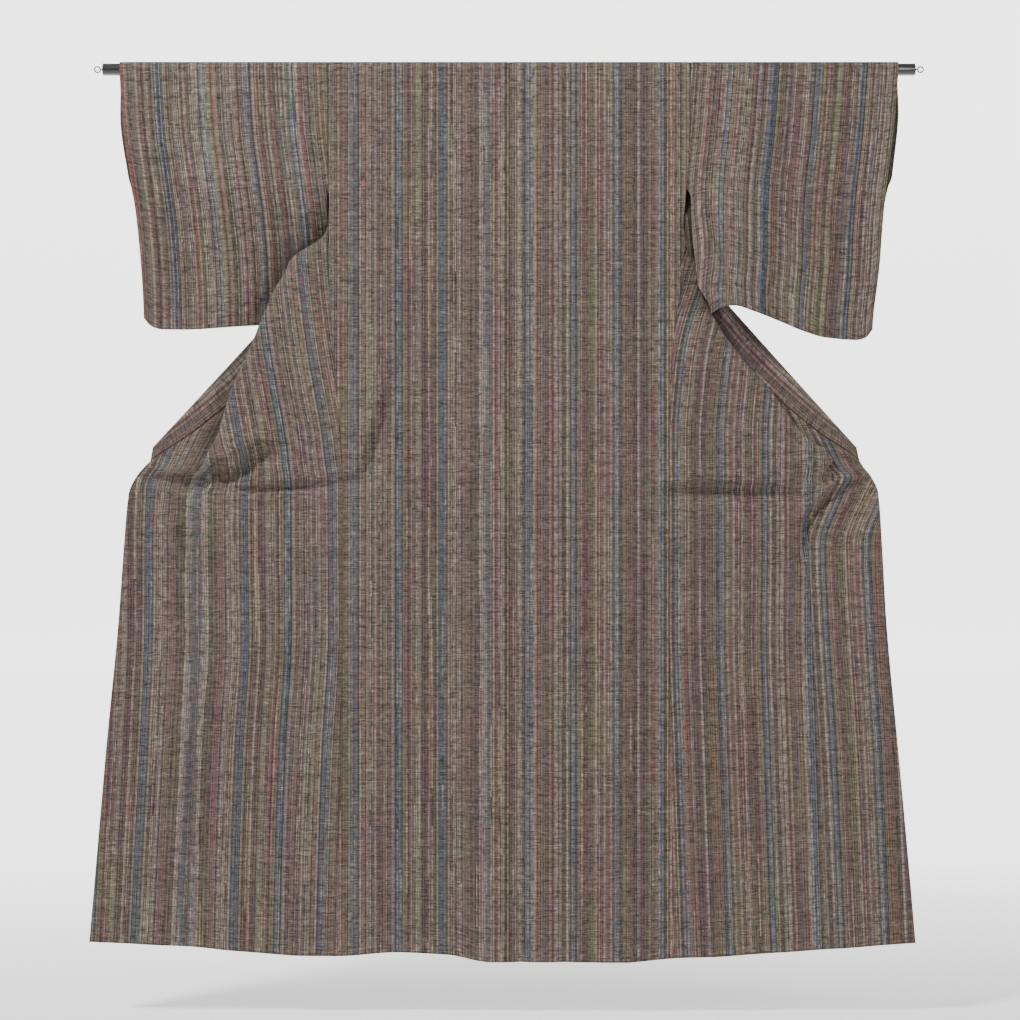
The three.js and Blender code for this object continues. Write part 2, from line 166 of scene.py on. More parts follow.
class Through:
    """A smooth curve through a table's rows that never overshoots them."""

    def __init__(self, rows: list[tuple[float, float]]) -> None:
        """Sorts the rows and works out the slope at each.

        Args:
            rows: pairs of place and value.
        """
        table = np.array(sorted(rows), float)
        self.at, self.values = table[:, 0], table[:, 1]
        steps = np.diff(self.values) / np.diff(self.at)
        before, after = steps[:-1], steps[1:]
        total = np.where(before + after == 0, 1.0, before + after)
        inner = np.where(before * after <= 0, 0.0, 2 * before * after / total)
        self.slopes = np.concatenate([steps[:1], inner, steps[-1:]])

    def __call__(self, x: np.ndarray | float) -> np.ndarray:
        """The curve's value, held at its ends.

        Args:
            x: the place.

        Returns:
            The value there.
        """
        x = np.clip(np.asarray(x, float), self.at[0], self.at[-1])
        i = np.clip(np.searchsorted(self.at, x, "right") - 1, 0, len(self.at) - 2)
        span = self.at[i + 1] - self.at[i]
        return hermite(
            self.values[i], self.slopes[i] * span,
            self.values[i + 1], self.slopes[i + 1] * span, (x - self.at[i]) / span,
        )


def tracks(names: str, rows: list[tuple[float, ...]]) -> dict[str, Through]:
    """One curve for each named column, all against the first column.

    Args:
        names: the columns' names in order, the first one the place.
        rows: the table.

    Returns:
        The curves by name.
    """
    parts = list(zip(*rows))
    return {
        name: Through(list(zip(parts[0], part)))
        for name, part in zip(names.split()[1:], parts[1:])
    }


@dataclass(frozen=True)
class Crease:
    """A soft trough or ridge along a short path on the cloth, seen from the back."""

    path: tuple[tuple[float, float], ...]   # X and Z along it
    depth: float                            # positive sinks away from the camera
    width: float                            # half its width
    lip: float = 0.0                        # share of the depth that rises beside it

    def shift(self, x: np.ndarray, z: np.ndarray) -> np.ndarray:
        """How far the crease moves each point of the cloth along Y.

        Args:
            x: distances from the middle.
            z: heights.

        Returns:
            The move of each point.
        """
        points = np.array(self.path, float)
        lengths = np.hypot(*np.diff(points, axis=0).T)
        starts = np.concatenate([[0.0], np.cumsum(lengths)])
        best = np.full(np.shape(x), 1e9)
        along = np.zeros(np.shape(x))
        side = np.zeros(np.shape(x))
        for a, b, length, start in zip(points[:-1], points[1:], lengths, starts):
            run = (b - a) / length
            t = np.clip((x - a[0]) * run[0] + (z - a[1]) * run[1], 0.0, length)
            off = (x - a[0] - t * run[0], z - a[1] - t * run[1])
            distance = np.hypot(*off)
            nearer = distance < best
            best = np.where(nearer, distance, best)
            along = np.where(nearer, start + t, along)
            side = np.where(nearer, off[0] * run[1] - off[1] * run[0], side)
        # It fades towards both ends of its path
        fade = np.sin(np.pi * (0.06 + 0.88 * along / starts[-1])) ** 0.7
        trough = bell(best, self.width)
        ridge = self.lip * bell(side - 1.7 * self.width, self.width) * bell(best, 3 * self.width)
        return self.depth * fade * (trough - ridge)


@dataclass(frozen=True)
class Hang:
    """How the whole garment hangs: its uneven hem, long soft folds and pressed marks."""

    # The hem: X and height
    hem_rows: tuple[tuple[float, float], ...] = (
        (-738, -1534), (-569, -1541), (-444, -1553), (-301, -1558), (-192, -1551), (-110, -1555),
        (-30, -1569), (200, -1569), (290, -1562), (444, -1555), (560, -1546), (715, -1536),
    )
    # Each long fold down to the hem: X, top, depth along Y, half width
    folds: tuple[tuple[float, float, float, float], ...] = (
        (22, -735, 6, 12), (98, -745, 5, 12), (-150, -900, -5, 45), (190, -760, -5, 40),
        (-372, -780, -6, 34), (-455, -900, 6, 36), (-620, -880, -6, 40),
        (360, -800, -6, 36), (450, -850, 6, 40), (600, -880, -6, 40),
    )
    creases: tuple[Crease, ...] = (
        # the long fold between the hips and the chest, and the mark left across the hips
        Crease(((-232, -500), (-232, -1110)), 4, 34),
        Crease(((-700, -700), (-240, -712)), -6, 14),
        Crease(((240, -712), (700, -700)), -6, 14),
        # left: soft fold that sinks towards the side seam, and the slant beside it
        Crease(((-209, -559), (-241, -673), (-252, -703), (-264, -722), (-290, -724)), 12, 11, 0.6),
        Crease(((-174, -458), (-236, -705)), 5, 16, 0.5),
        # left: sharp line under the hollow, from the collar's end to the side seam
        Crease(((-644, -710), (-600, -724), (-560, -732)), 9, 8),
        Crease(((-549, -736), (-479, -742), (-417, -740), (-355, -733), (-300, -730)), 11, 7),
        # left: the roll of slack cloth, the hollow under it and the low swell inwards of both
        Crease(((-620, -708), (-555, -700), (-490, -672), (-430, -632)), -12, 17),
        Crease(((-562, -731), (-498, -717), (-456, -697), (-396, -666)), 26, 18),
        Crease(((-500, -729), (-430, -726), (-300, -718)), -5, 9),
        # left: the slant from the drawn-out corner down to the narrow panel's seam
        Crease(((-632, -719), (-593, -758), (-574, -793), (-556, -863), (-540, -921)), 11, 13, 0.7),
        Crease(((-548, -920), (-556, -1200), (-566, -1510)), 6, 8, 0.8),
        # left: the pull along the side seam
        Crease(((-284, -740), (-286, -1100), (-284, -1520)), 8, 12, 0.4),
        # right: line under the roll, the roll, the fold down from the collar's end, and a nick there
        Crease(((262, -745), (361, -740), (472, -745), (528, -751)), 17, 9, -0.3),
        Crease(((270, -722), (380, -716), (500, -722)), -9, 13),
        Crease(
            ((625, -726), (570, -749), (547, -768), (533, -784), (521, -807), (515, -860)), 14, 10, 0.7
        ),
        Crease(((498, -721), (532, -717)), 6, 7),
        # back: two kinks over the long folds, and faint drag lines
        Crease(((12, -706), (25, -722), (24, -800)), 6, 7, 0.6),
        Crease(((86, -732), (100, -749), (98, -840)), 6, 7, 0.6),
        Crease(((40, -716), (150, -736), (262, -744)), -2.5, 12),
        Crease(((-230, -716), (-120, -724), (10, -716)), -2.5, 12),
        Crease(((-60, -120), (-90, -420), (-70, -690)), -3, 34),
        Crease(((120, -160), (150, -420), (120, -690)), -3, 38),
        Crease(((250, -330), (262, -520), (240, -690)), 3, 18),
        Crease(((-286, -260), (-262, -380), (-268, -520)), 3, 16),
        Crease(((-210, -1000), (-240, -1240), (-225, -1500)), 3.5, 24),
        Crease(((180, -900), (215, -1180), (200, -1500)), 3.5, 26),
        Crease(((-60, -820), (-52, -1100), (-70, -1500)), -3, 22),
    )

    @cached_property
    def hem(self) -> Through:
        """The hem's height along X."""
        return Through(list(self.hem_rows))

    def settle(self, x: np.ndarray, y: np.ndarray, z: np.ndarray) -> np.ndarray:
        """Lowers points to the hem and lays the folds over them.

        Args:
            x: distances from the middle, left negative.
            y: depths before the folds.
            z: heights before the hem.

        Returns:
            The points.
        """
        share = np.clip((z - KNEE_LEVEL) / (HEM_LEVEL - KNEE_LEVEL), 0, None)
        low = np.where(z >= KNEE_LEVEL, z, KNEE_LEVEL + share * (self.hem(x) - KNEE_LEVEL))
        depth = y + 0.0
        for fold_x, top, height, width in self.folds:
            depth = depth + height * bell(x - fold_x, width) * smooth(top, top - 160, low)
        for crease in self.creases:
            depth = depth + crease.shift(x, low)
        return np.stack([x, depth, low], axis=-1)


HANG = Hang()

# Each front as it hangs: the height, then how far out and how deep its four points lie
SECTION_NAMES = "z side fold tuck seam side_y fold_y tuck_y seam_y"
TOP_ROWS = [
    (0, 318.6, 225, 130, 44, 13, 13, 13, 13),
    (-20, 318.6, 235, 120, 76, 13, 13, 13.5, 14),
    (-45, 318.6, 242, 110, 86, 13, 13, 15, 17),
    (-100, 318.6, 262, 97, 104, 12, 13, 19, 25),
]
HANG_ROWS = {
    Side.LEFT: [
        (-205, 318.6, 292, 100, 136, 9, 12, 21, 31),
        (-250, 318.6, 306, 115, 174, 3, 9, 20, 31),
        (-291, 319, 325, 136, 214, -5, 4, 19, 30),
        (-335, 318, 384, 190, 255, -12, -1, 18, 30),
        (-358, 317, 394, 220, 275, -12, -3, 18.5, 30),
        (-380, 316, 408, 249, 295, -12, -4, 18, 30),
        (-448, 312, 438, 303, 364, -12, -6, 17, 28),
        (-504, 308, 460, 345, 415, -12, -7, 16, 25),
        (-560, 303, 487, 387, 465, -12, -8, 14, 22),
        (-640, 296, 511, 457, 560, -12, -9, 9, 15),
        (-689, 293, 531, 506, 632, -12, -10, 5, 8),
        (-702, 292, 520, 517, 645, -12, -10.5, 1.5, 5.5),
        (-716, 291, 505, 532, 656, -12, -11, -2, 3),
        (-745, 291, 470, 541, 669, -12, -11, -7, -2),
        (-835, 291, 440, 544, 677, -12, -11, -9, -6),
        (-974, 291, 440, 544, 687, -12, -11, -9, -6),
        (-1190, 296, 445, 552, 708, -12, -11, -9, -6),
        (-1362, 299, 450, 561, 723, -12, -11, -9, -6),
        (-1534, 301, 455, 569, 738, -12, -11, -9, -6),
    ],
    Side.RIGHT: [
        (-205, 318.6, 290, 100, 136, 9, 12, 21, 31),
        (-250, 318.6, 302, 115, 174, 3, 9, 20, 31),
        (-291, 317, 318, 136, 211, -5, 4, 19, 30),
        (-335, 311, 330, 178, 248, -12, -3, 18, 30),
        (-358, 307, 332, 201, 269, -12, -4, 18.5, 30),
        (-380, 304, 334, 225, 290, -12, -5, 18, 30),
        (-448, 293, 366, 288, 352, -12, -7, 17, 28),
        (-504, 287, 405, 338, 400, -12, -8, 16, 25),
        (-560, 284, 455, 398, 455, -12, -8, 14, 22),
        (-640, 281, 515, 478, 548, -12, -9, 9, 15),
        (-689, 281, 568, 545, 618, -12, -10, 5, 8),
        (-702, 281, 556, 558, 626, -12, -10.5, 1.5, 5.5),
        (-716, 281, 540, 572, 638, -12, -11, -2, 3),
        (-745, 281, 480, 560, 650, -12, -11, -7, -2),
        (-835, 281, 430, 527, 656, -12, -11, -9, -6),
        (-974, 281, 430, 532, 664, -12, -11, -9, -6),
        (-1190, 284, 435, 545, 684, -12, -11, -9, -6),
        (-1362, 287, 440, 553, 700, -12, -11, -9, -6),
        (-1534, 290, 445, 560, 715, -12, -11, -9, -6),
    ],
}


@dataclass(frozen=True)
class FrontSections:
    """One side's front: a section at each height from the side seam to the collar seam.

    The cloth runs out to a fold, back in to a tuck, and out again to the collar's seam.
    A place on a section is a number from 0 at the side seam, over 1 at the fold and 2 at
    the tuck, to 3 at the collar seam.
    """

    side: Side
    panel_top: float = -250.0       # top of the narrow front panel
    panel_join: float = -380.0    # from here down the front ends at the tuck

    @cached_property
    def track(self) -> dict[str, Through]:
        """The table's columns as curves."""
        return tracks(SECTION_NAMES, TOP_ROWS + HANG_ROWS[self.side])

    def split(self, z: np.ndarray) -> np.ndarray:
        """Where the narrow panel starts on the section at each height."""
        return mix(3.0, 2.0, smooth(self.panel_top, self.panel_join, z))

    def flat_points(self, z: np.ndarray, t: np.ndarray) -> tuple[np.ndarray, np.ndarray]:
        """Points on the sections before folds and hem.

        Args:
            z: heights, one for each point.
            t: places on the sections.

        Returns:
            Distance from the middle and depth of each point.
        """
        xs = [self.track[name](z) for name in ("side", "fold", "tuck", "seam")]
        ys = [self.track[name](z) for name in ("side_y", "fold_y", "tuck_y", "seam_y")]
        slopes = [self._slope(k, xs, ys) for k in range(4)]
        k = np.clip(np.floor(t).astype(int), 0, 2)
        found = []
        for axis, values in enumerate((xs, ys)):
            legs = [
                hermite(values[i], slopes[i][axis], values[i + 1], slopes[i + 1][axis], t - k)
                for i in range(3)
            ]
            found.append(np.choose(k, legs))
        return found[0], found[1]

    def _slope(
        self, k: int, xs: list[np.ndarray], ys: list[np.ndarray]
    ) -> tuple[np.ndarray, np.ndarray]:
        """The curve's slope at one of its four points.

        Args:
            k: which point, from 0 at the side seam.
            xs: distances of the four points from the middle.
            ys: their depths.

        Returns:
            The slope outwards and in depth.
        """
        a, b = max(0, k - 1), min(3, k + 1)
        dx, dy = xs[b] - xs[a], ys[b] - ys[a]
        chord = np.hypot(dx, dy)
        legs = [np.abs(xs[i + 1] - xs[i]) for i in (k - 1, k) if 0 <= i < 3]
        reach = np.maximum(SHORT_REACH, np.minimum(legs[0], legs[-1]))
        turn = np.zeros_like(chord)
        if k == 1:
            turn = smooth(0, FULL_TURN, xs[1] - np.maximum(xs[a], xs[b]))
        if k == 2:
            turn = smooth(0, FULL_TURN, np.minimum(xs[a], xs[b]) - xs[2])
        # With this slope the cubic bends at about the fold's radius
        bend = np.sqrt(6 * FOLD_RADIUS * (legs[0] + legs[-1]) / 2)
        return mix(dx / chord * reach, 0.0, turn), mix(dy / chord * reach, bend, turn)

    def points(self, z: np.ndarray, t: np.ndarray, hold: np.ndarray | float = 0.0) -> np.ndarray:
        """Points of the hung cloth.

        Args:
            z: heights.
            t: places on the sections.
            hold: distance each point is moved out from the middle.

        Returns:
            The points.
        """
        x, y = self.flat_points(z, t)
        return HANG.settle(self.side.value * (x + hold), y, z)


def placed(mesh: bpy.types.Mesh, *materials: bpy.types.Material) -> bpy.types.Object:
    """Puts a finished mesh into the scene under its own name.

    Args:
        mesh: the mesh.
        materials: the finishes it takes, in order.

    Returns:
        The new object.
    """
    for material in materials:
        mesh.materials.append(material)
    piece = bpy.data.objects.new(mesh.name, mesh)
    bpy.context.scene.collection.objects.link(piece)
    return piece


@dataclass
class ClothMesh:
    """A thin closed shell of cloth on a grid of points, with the weave's own coordinates."""

    name: str
    grid: np.ndarray             # rows by columns of points on the cloth's middle
    weave: np.ndarray            # rows by columns of place across and along the cloth
    lap: float = 0.0             # length all round, where the last row joins the first
    thickness: np.ndarray | float = CLOTH_THICKNESS
    # How far each row goes on under its neighbour past the first and the last column
    first_under: np.ndarray | None = None
    last_under: np.ndarray | None = None
    flip: bool = False           # whether the right side faces against the grid's direction

    def __post_init__(self) -> None:
        """Finds where the right side faces and spreads one thickness over the whole grid."""
        self.normals = facing(self.grid, self.lap > 0) * (-1 if self.flip else 1)
        self.thickness = np.broadcast_to(self.thickness, self.grid.shape[:2])

    def build(self, *materials: bpy.types.Material) -> bpy.types.Object:
        """Makes the shell, its right side in the first material and its wrong side in the second.

        Args:
            materials: the two finishes.

        Returns:
            The new object.
        """
        for under, last in ((self.first_under, False), (self.last_under, True)):
            if under is not None:
                self._press_seam(under, last)
        rows, cols = self.grid.shape[:2]
        half = self.normals * self.thickness[..., None] / 2
        places = np.concatenate([(self.grid + half).reshape(-1, 3), (self.grid - half).reshape(-1, 3)])
        spans = np.arange(rows if self.lap else rows - 1)
        i, j = (part.ravel() for part in np.meshgrid(spans, np.arange(cols - 1), indexing="ij"))
        here, after = i * cols + j, (i + 1) % rows * cols + j
        top = np.stack([here, after, after + 1, here + 1], axis=1)
        quads = np.concatenate([top, top[:, ::-1] + rows * cols, self._closing_faces(rows, cols)])
        if self.flip:
            quads = quads[:, ::-1]
        mesh = bpy.data.meshes.new(self.name)
        mesh.from_pydata((places * MM).tolist(), [], quads.tolist())
        slots = np.zeros(len(quads), np.int32)
        slots[len(top):2 * len(top)] = 1
        mesh.polygons.foreach_set("material_index", slots)
        mesh.polygons.foreach_set("use_smooth", np.ones(len(quads), bool))
        self._write_weave(mesh, quads, rows * cols)
        return placed(mesh, *materials)

    def _press_seam(self, under: np.ndarray, last: bool) -> None:
        """Dips one edge of the grid and adds the seam allowance that lies under the next piece.

        Args:
            under: how far the allowance reaches on each row.
            last: whether it is on the last column rather than the first.
        """
        order = slice(None, None, -1) if last else slice(None)
        grid, weave, normal, thick = (
            part[:, order] for part in (self.grid, self.weave, self.normals, self.thickness)
        )
        step = np.linalg.norm(grid[:, 0] - grid[:, 1], axis=-1)[:, None]
        out, turn = (grid[:, 0] - grid[:, 1]) / step, (weave[:, 0] - weave[:, 1]) / step
        reach = (under[:, None] * np.array(ALLOWANCE_COLUMNS))[..., None]
        dip = SEAM_DIP * bell(run_lengths(grid, 1), SEAM_TURN)[..., None]
        repeated = len(ALLOWANCE_COLUMNS)
        self.grid, self.weave, self.normals, self.thickness = (
            np.concatenate([added, kept], axis=1)[:, order] for added, kept in (
                (grid[:, :1] + out[:, None] * reach - normal[:, :1] * UNDERLAY, grid - normal * dip),
                (weave[:, :1] + turn[:, None] * reach, weave),
                (np.repeat(normal[:, :1], repeated, axis=1), normal),
                (np.repeat(thick[:, :1], repeated, axis=1), thick),
            )
        )

    def _closing_faces(self, rows: int, cols: int) -> np.ndarray:
        """The narrow faces that close the shell between its two sides.

        Args:
            rows: the grid's rows.
            cols: the grid's columns.

        Returns:
            Rows of four corners.
        """
        under = rows * cols
        span = np.arange(rows if self.lap else rows - 1)
        first, after = span * cols, (span + 1) % rows * cols
        last, last_after = first + cols - 1, after + cols - 1
        faces = [
            np.stack([first, first + under, after + under, after], axis=1),
            np.stack([last, last_after, last_after + under, last + under], axis=1),
        ]
        if not self.lap:
            j = np.arange(cols - 1)
            low = (rows - 1) * cols + j
            faces.append(np.stack([j, j + 1, j + 1 + under, j + under], axis=1))
            faces.append(np.stack([low, low + under, low + 1 + under, low + 1], axis=1))
        return np.concatenate(faces)

    def _write_weave(self, mesh: bpy.types.Mesh, quads: np.ndarray, count: int) -> None:
        """Writes the cloth's own coordinates, in metres, as the piece's UV map.

        Args:
            mesh: the shell.
            quads: the corners of its faces.
            count: how many points the grid has.
        """
        corners = self.weave.reshape(-1, 2)[quads % count]
        if self.lap:
            along = corners[..., 1]
            crossing = along.max(1, keepdims=True) - along.min(1, keepdims=True) > self.lap / 2
            low = along < along.mean(1, keepdims=True)
            corners[..., 1] = along + np.where(crossing & low, self.lap, 0.0)
        uv = mesh.uv_layers.new(name="weave")
        uv.data.foreach_set("uv", (corners * MM).astype(np.float32).ravel())


def node(
    tree: bpy.types.NodeTree, kind: str, settings: dict | None = None, links: dict | None = None
) -> bpy.types.Node:
    """Adds a node with its settings and links.

    Args:
        tree: the node tree.
        kind: the node's type.
        settings: properties by name; a key that isn't a property is an input's name or number.
        links: what goes into each input: a socket, or a node, whose first output is meant.

    Returns:
        The new node.
    """
    made = tree.nodes.new(kind)
    for key, value in (settings or {}).items():
        if isinstance(key, str) and hasattr(made, key):
            setattr(made, key, value)
        else:
            made.inputs[key].default_value = value
    for key, source in (links or {}).items():
        socket = source.outputs[0] if isinstance(source, bpy.types.Node) else source
        tree.links.new(socket, made.inputs[key])
    return made


def linear(hex_colour: str) -> tuple[float, float, float, float]:
    """Turns an sRGB colour into the linear one that shaders use.

    Args:
        hex_colour: the colour, as #rrggbb.

    Returns:
        Linear red, green, blue and a full alpha.
    """
    parts = [int(hex_colour[i:i + 2], 16) / 255 for i in (1, 3, 5)]
    low = [c / 12.92 if c <= 0.04045 else ((c + 0.055) / 1.055) ** 2.4 for c in parts]
    return (low[0], low[1], low[2], 1.0)


def fill_ramp(ramp: bpy.types.ColorRamp, stops: list[tuple[float, str]], step: bool) -> None:
    """Sets a colour ramp's stops.

    Args:
        ramp: the ramp.
        stops: place and hex colour of each stop.
        step: whether each colour holds to the next stop.
    """
    ramp.interpolation = "CONSTANT" if step else "LINEAR"
    while len(ramp.elements) < len(stops):
        ramp.elements.new(1.0)
    for element, (place, colour) in zip(ramp.elements, stops):
        element.position = place
        element.color = linear(colour)


def new_material(name: str) -> bpy.types.Material:
    """Makes a material with an empty node tree.

    Args:
        name: its name.

    Returns:
        The material.
    """
    made = bpy.data.materials.new(name)
    made.use_nodes = True
    made.node_tree.nodes.clear()
    return made


@dataclass(frozen=True)
class SlubbedSilk:
    """Tsumugi: plain-woven spun silk. Uneven hand-spun threads give slubs and a dry, matt face."""

    name: str
    shade: float = 0.98         # brightness of this side of the cloth; on the wrong side it is kept low, partly as painted shade
    thread: float = 1.7         # width of one drawn warp thread; a real one is a third of that
    weft: float = 1.7           # spacing of the drawn weft; a real pick is a third of that
    repeat: float = 155.0       # width in which the bands come round again
    # Bands across one repeat: where each starts, and its colour
    bands: tuple[tuple[float, str], ...] = (
        (0, "#5d636a"), (3, "#525b66"), (11, "#45464b"), (14, "#7b6c5e"), (19, "#6e5748"),
        (27, "#6f6054"), (36, "#654f47"), (41, "#7b6d5f"), (45, "#6e4f49"), (52, "#6b5d53"),
        (60, "#6a5c49"), (66, "#735f55"), (73, "#7b6b5d"), (76, "#47484c"), (79, "#586067"),
        (87, "#4e5358"), (91, "#77644f"), (98, "#754a43"), (104, "#726255"), (113, "#625a47"),
        (119, "#7e6f61"), (124, "#6a534a"), (133, "#725c4e"), (142, "#685548"), (149, "#766758"),
        (153, "#4b4a4a"),
    )
    # Loose threads, by how often they come
    threads: tuple[tuple[float, str], ...] = (
        (0.0, "#211c1b"), (0.22, "#403835"), (0.34, "#665951"), (0.47, "#84766a"), (0.58, "#9a8b7d"),
        (0.68, "#aea08f"), (0.755, "#8a4038"), (0.80, "#6c6e4c"), (0.84, "#946a47"), (0.88, "#6d5569"),
        (0.92, "#4f5d72"), (0.96, "#b4a794"),
    )
    # How dark or pale the weft's dashes are, from its thin places to its slubs
    dashes: tuple[tuple[float, str], ...] = (
        (0.0, "#868686"), (0.36, "#a0a0a0"), (0.43, "#cccccc"), (0.58, "#d6d6d6"), (0.68, "#fafafa"),
    )
    dye_run: float = 1000 / 3   # length along a thread in which its dye changes
    patch_run: float = 50 / 3   # length in which a thread comes to the face or sinks from it
    drift_width: float = 100 / 3    # width in which the hue of the whole cloth drifts
    drift_run: float = 250.0        # length in which it does
    slub_length: float = 15.625     # length along the weft from one slub to the next
    thread_step: float = 3.7    # how unlike each other two neighbouring threads are
    pick_step: float = 5.3      # likewise for two picks of the weft
    dye_spread: float = 0.14    # share of the thread colours that one thread's dye runs through
    # Each as its spread and its least value: how far a loose thread hides its band, the whole
    # cloth's hue, where 0.5 leaves it as it is, and how bright a pick is
    hidden: tuple[float, float] = (1.9, -0.56)
    hue: tuple[float, float] = (0.13, 0.435)
    pick_light: tuple[float, float] = (0.34, 0.87)
    saturation: float = 0.88
    relief: float = 0.4         # height of the drawn threads

    def make(self) -> bpy.types.Material:
        """Builds the cloth's material on the weave map: U across the threads, V along them.

        Returns:
            The material.
        """
        made = new_material(self.name)
        tree = made.node_tree
        weave = node(tree, "ShaderNodeUVMap", {"uv_map": "weave"})
        place = node(tree, "ShaderNodeSeparateXYZ", links={0: weave})
        spacing = (self.thread * MM, self.weft * MM, 1.0)
        counted = node(tree, "ShaderNodeVectorMath", {"operation": "DIVIDE", 1: spacing}, {0: weave})
        whole = node(tree, "ShaderNodeVectorMath", {"operation": "FLOOR"}, {0: counted})
        number = node(tree, "ShaderNodeSeparateXYZ", links={0: whole})
        colour = self._slubs(tree, place, number, self._stripes(tree, weave, place, number))
        toned = node(
            tree, "ShaderNodeHueSaturation", {"Saturation": self.saturation, "Value": self.shade},
            {"Color": colour},
        )
        bump = node(
            tree, "ShaderNodeBump", {"Strength": 0.35, "Distance": self.relief * MM},
            {"Height": self._relief(tree, weave)},
        )
        shader = node(
            tree, "ShaderNodeBsdfPrincipled",
            {"Roughness": 0.88, "Specular IOR Level": 0.25, "Sheen Weight": 0.1, "Sheen Roughness": 0.45},
            {"Base Color": toned, "Normal": bump},
        )
        node(tree, "ShaderNodeOutputMaterial", links={0: shader})
        return made

    def _unevenness(
        self, tree: bpy.types.NodeTree, place: bpy.types.Node, change: tuple[float, float], detail: float
    ) -> bpy.types.Node:
        """Soft unevenness over the cloth.

        Args:
            tree: the material's tree.
            place: what it varies over.
            change: how quickly it changes across and along, for each unit of the place.
            detail: how much finer unevenness it has within it.

        Returns:
            The node that gives it.
        """
        stretched = node(tree, "ShaderNodeMapping", {"Scale": (*change, 1.0)}, {0: place})
        return node(
            tree, "ShaderNodeTexNoise",
            {"noise_dimensions": "2D", "Scale": 1.0, "Detail": detail, "Roughness": 0.6}, {0: stretched},
        )

    def _stripes(
        self, tree: bpy.types.NodeTree, weave: bpy.types.Node, place: bpy.types.Node, number: bpy.types.Node
    ) -> bpy.types.Node:
        """Warp bands with single threads among them, each dyed unevenly along its length.

        Args:
            tree: the material's tree.
            weave: the weave map.
            place: distances across and along the cloth.
            number: numbers of the thread and the pick.

        Returns:
            The node that gives the colour.
        """
        repeats = node(
            tree, "ShaderNodeMath", {"operation": "DIVIDE", 1: self.repeat * MM}, {0: place.outputs["X"]}
        )
        share = node(tree, "ShaderNodeMath", {"operation": "FRACT"}, {0: repeats})
        bands = node(tree, "ShaderNodeValToRGB", links={0: share})
        fill_ramp(bands.color_ramp, [(at / self.repeat, colour) for at, colour in self.bands], True)
        pick = node(tree, "ShaderNodeTexWhiteNoise", {"noise_dimensions": "1D"}, {"W": number.outputs["X"]})
        thread = node(tree, "ShaderNodeCombineXYZ", links={0: number.outputs["X"], 1: place.outputs["Y"]})
        dye = self._unevenness(tree, thread, (self.thread_step, 1 / (self.dye_run * MM)), 1.0)
        dyed = node(
            tree, "ShaderNodeMath", {"operation": "MULTIPLY_ADD", 1: self.dye_spread}, {0: dye, 2: pick}
        )
        chosen = node(tree, "ShaderNodeMath", {"operation": "FRACT"}, {0: dyed})
        loose = node(tree, "ShaderNodeValToRGB", links={0: chosen})
        fill_ramp(loose.color_ramp, list(self.threads), True)
        patches = self._unevenness(tree, thread, (self.thread_step, 1 / (self.patch_run * MM)), 3.0)
        spread, least = self.hidden
        hidden = node(
            tree, "ShaderNodeMath", {"operation": "MULTIPLY_ADD", 1: spread, 2: least}, {0: patches}
        )
        striped = node(tree, "ShaderNodeMix", {"data_type": "RGBA"}, {0: hidden, 6: bands, 7: loose})
        drift = self._unevenness(
            tree, weave, (1 / (self.drift_width * MM), 1 / (self.drift_run * MM)), 1.0
        )
        spread, least = self.hue
        hue = node(tree, "ShaderNodeMath", {"operation": "MULTIPLY_ADD", 1: spread, 2: least}, {0: drift})
        return node(tree, "ShaderNodeHueSaturation", links={"Hue": hue, "Color": striped.outputs[2]})

    def _slubs(
        self, tree: bpy.types.NodeTree, place: bpy.types.Node, number: bpy.types.Node,
        colour: bpy.types.Node,
    ) -> bpy.types.Node:
        """Short dark and pale dashes along the weft, where its thread thins and thickens.

        Args:
            tree: the material's tree.
            place: distances across and along the cloth.
            number: numbers of the thread and the pick.
            colour: the striped warp.

        Returns:
            The node that gives the colour.
        """
        count = number.outputs["Y"]
        pick = node(tree, "ShaderNodeCombineXYZ", links={0: place.outputs["X"], 1: count})
        thickness = self._unevenness(tree, pick, (1 / (self.slub_length * MM), self.pick_step), 2.0)
        dashes = node(tree, "ShaderNodeValToRGB", links={0: thickness})
        fill_ramp(dashes.color_ramp, list(self.dashes), False)
        dashed = node(
            tree, "ShaderNodeMix", {"data_type": "RGBA", "blend_type": "MULTIPLY", 0: 1.0},
            {6: colour, 7: dashes},
        )
        weight = node(tree, "ShaderNodeTexWhiteNoise", {"noise_dimensions": "1D"}, {"W": count})
        spread, least = self.pick_light
        light = node(
            tree, "ShaderNodeMath", {"operation": "MULTIPLY_ADD", 1: spread, 2: least}, {0: weight}
        )
        return node(tree, "ShaderNodeHueSaturation", links={"Value": light, "Color": dashed.outputs[2]})

    def _relief(self, tree: bpy.types.NodeTree, weave: bpy.types.Node) -> bpy.types.Node:
        """The height of the threads: warp ribs crossed by the weft.

        Args:
            tree: the material's tree.
            weave: the weave map.

        Returns:
            The node that gives the height.
        """
        turns = (math.tau / (self.thread * MM), math.tau / (self.weft * MM), 0.0)
        scaled = node(tree, "ShaderNodeVectorMath", {"operation": "MULTIPLY", 1: turns}, {0: weave})
        waves = node(tree, "ShaderNodeVectorMath", {"operation": "SINE"}, {0: scaled})
        ribs = node(tree, "ShaderNodeSeparateXYZ", links={0: waves})
        return node(
            tree, "ShaderNodeMath", {"operation": "MULTIPLY"}, {0: ribs.outputs["X"], 1: ribs.outputs["Y"]}
        )


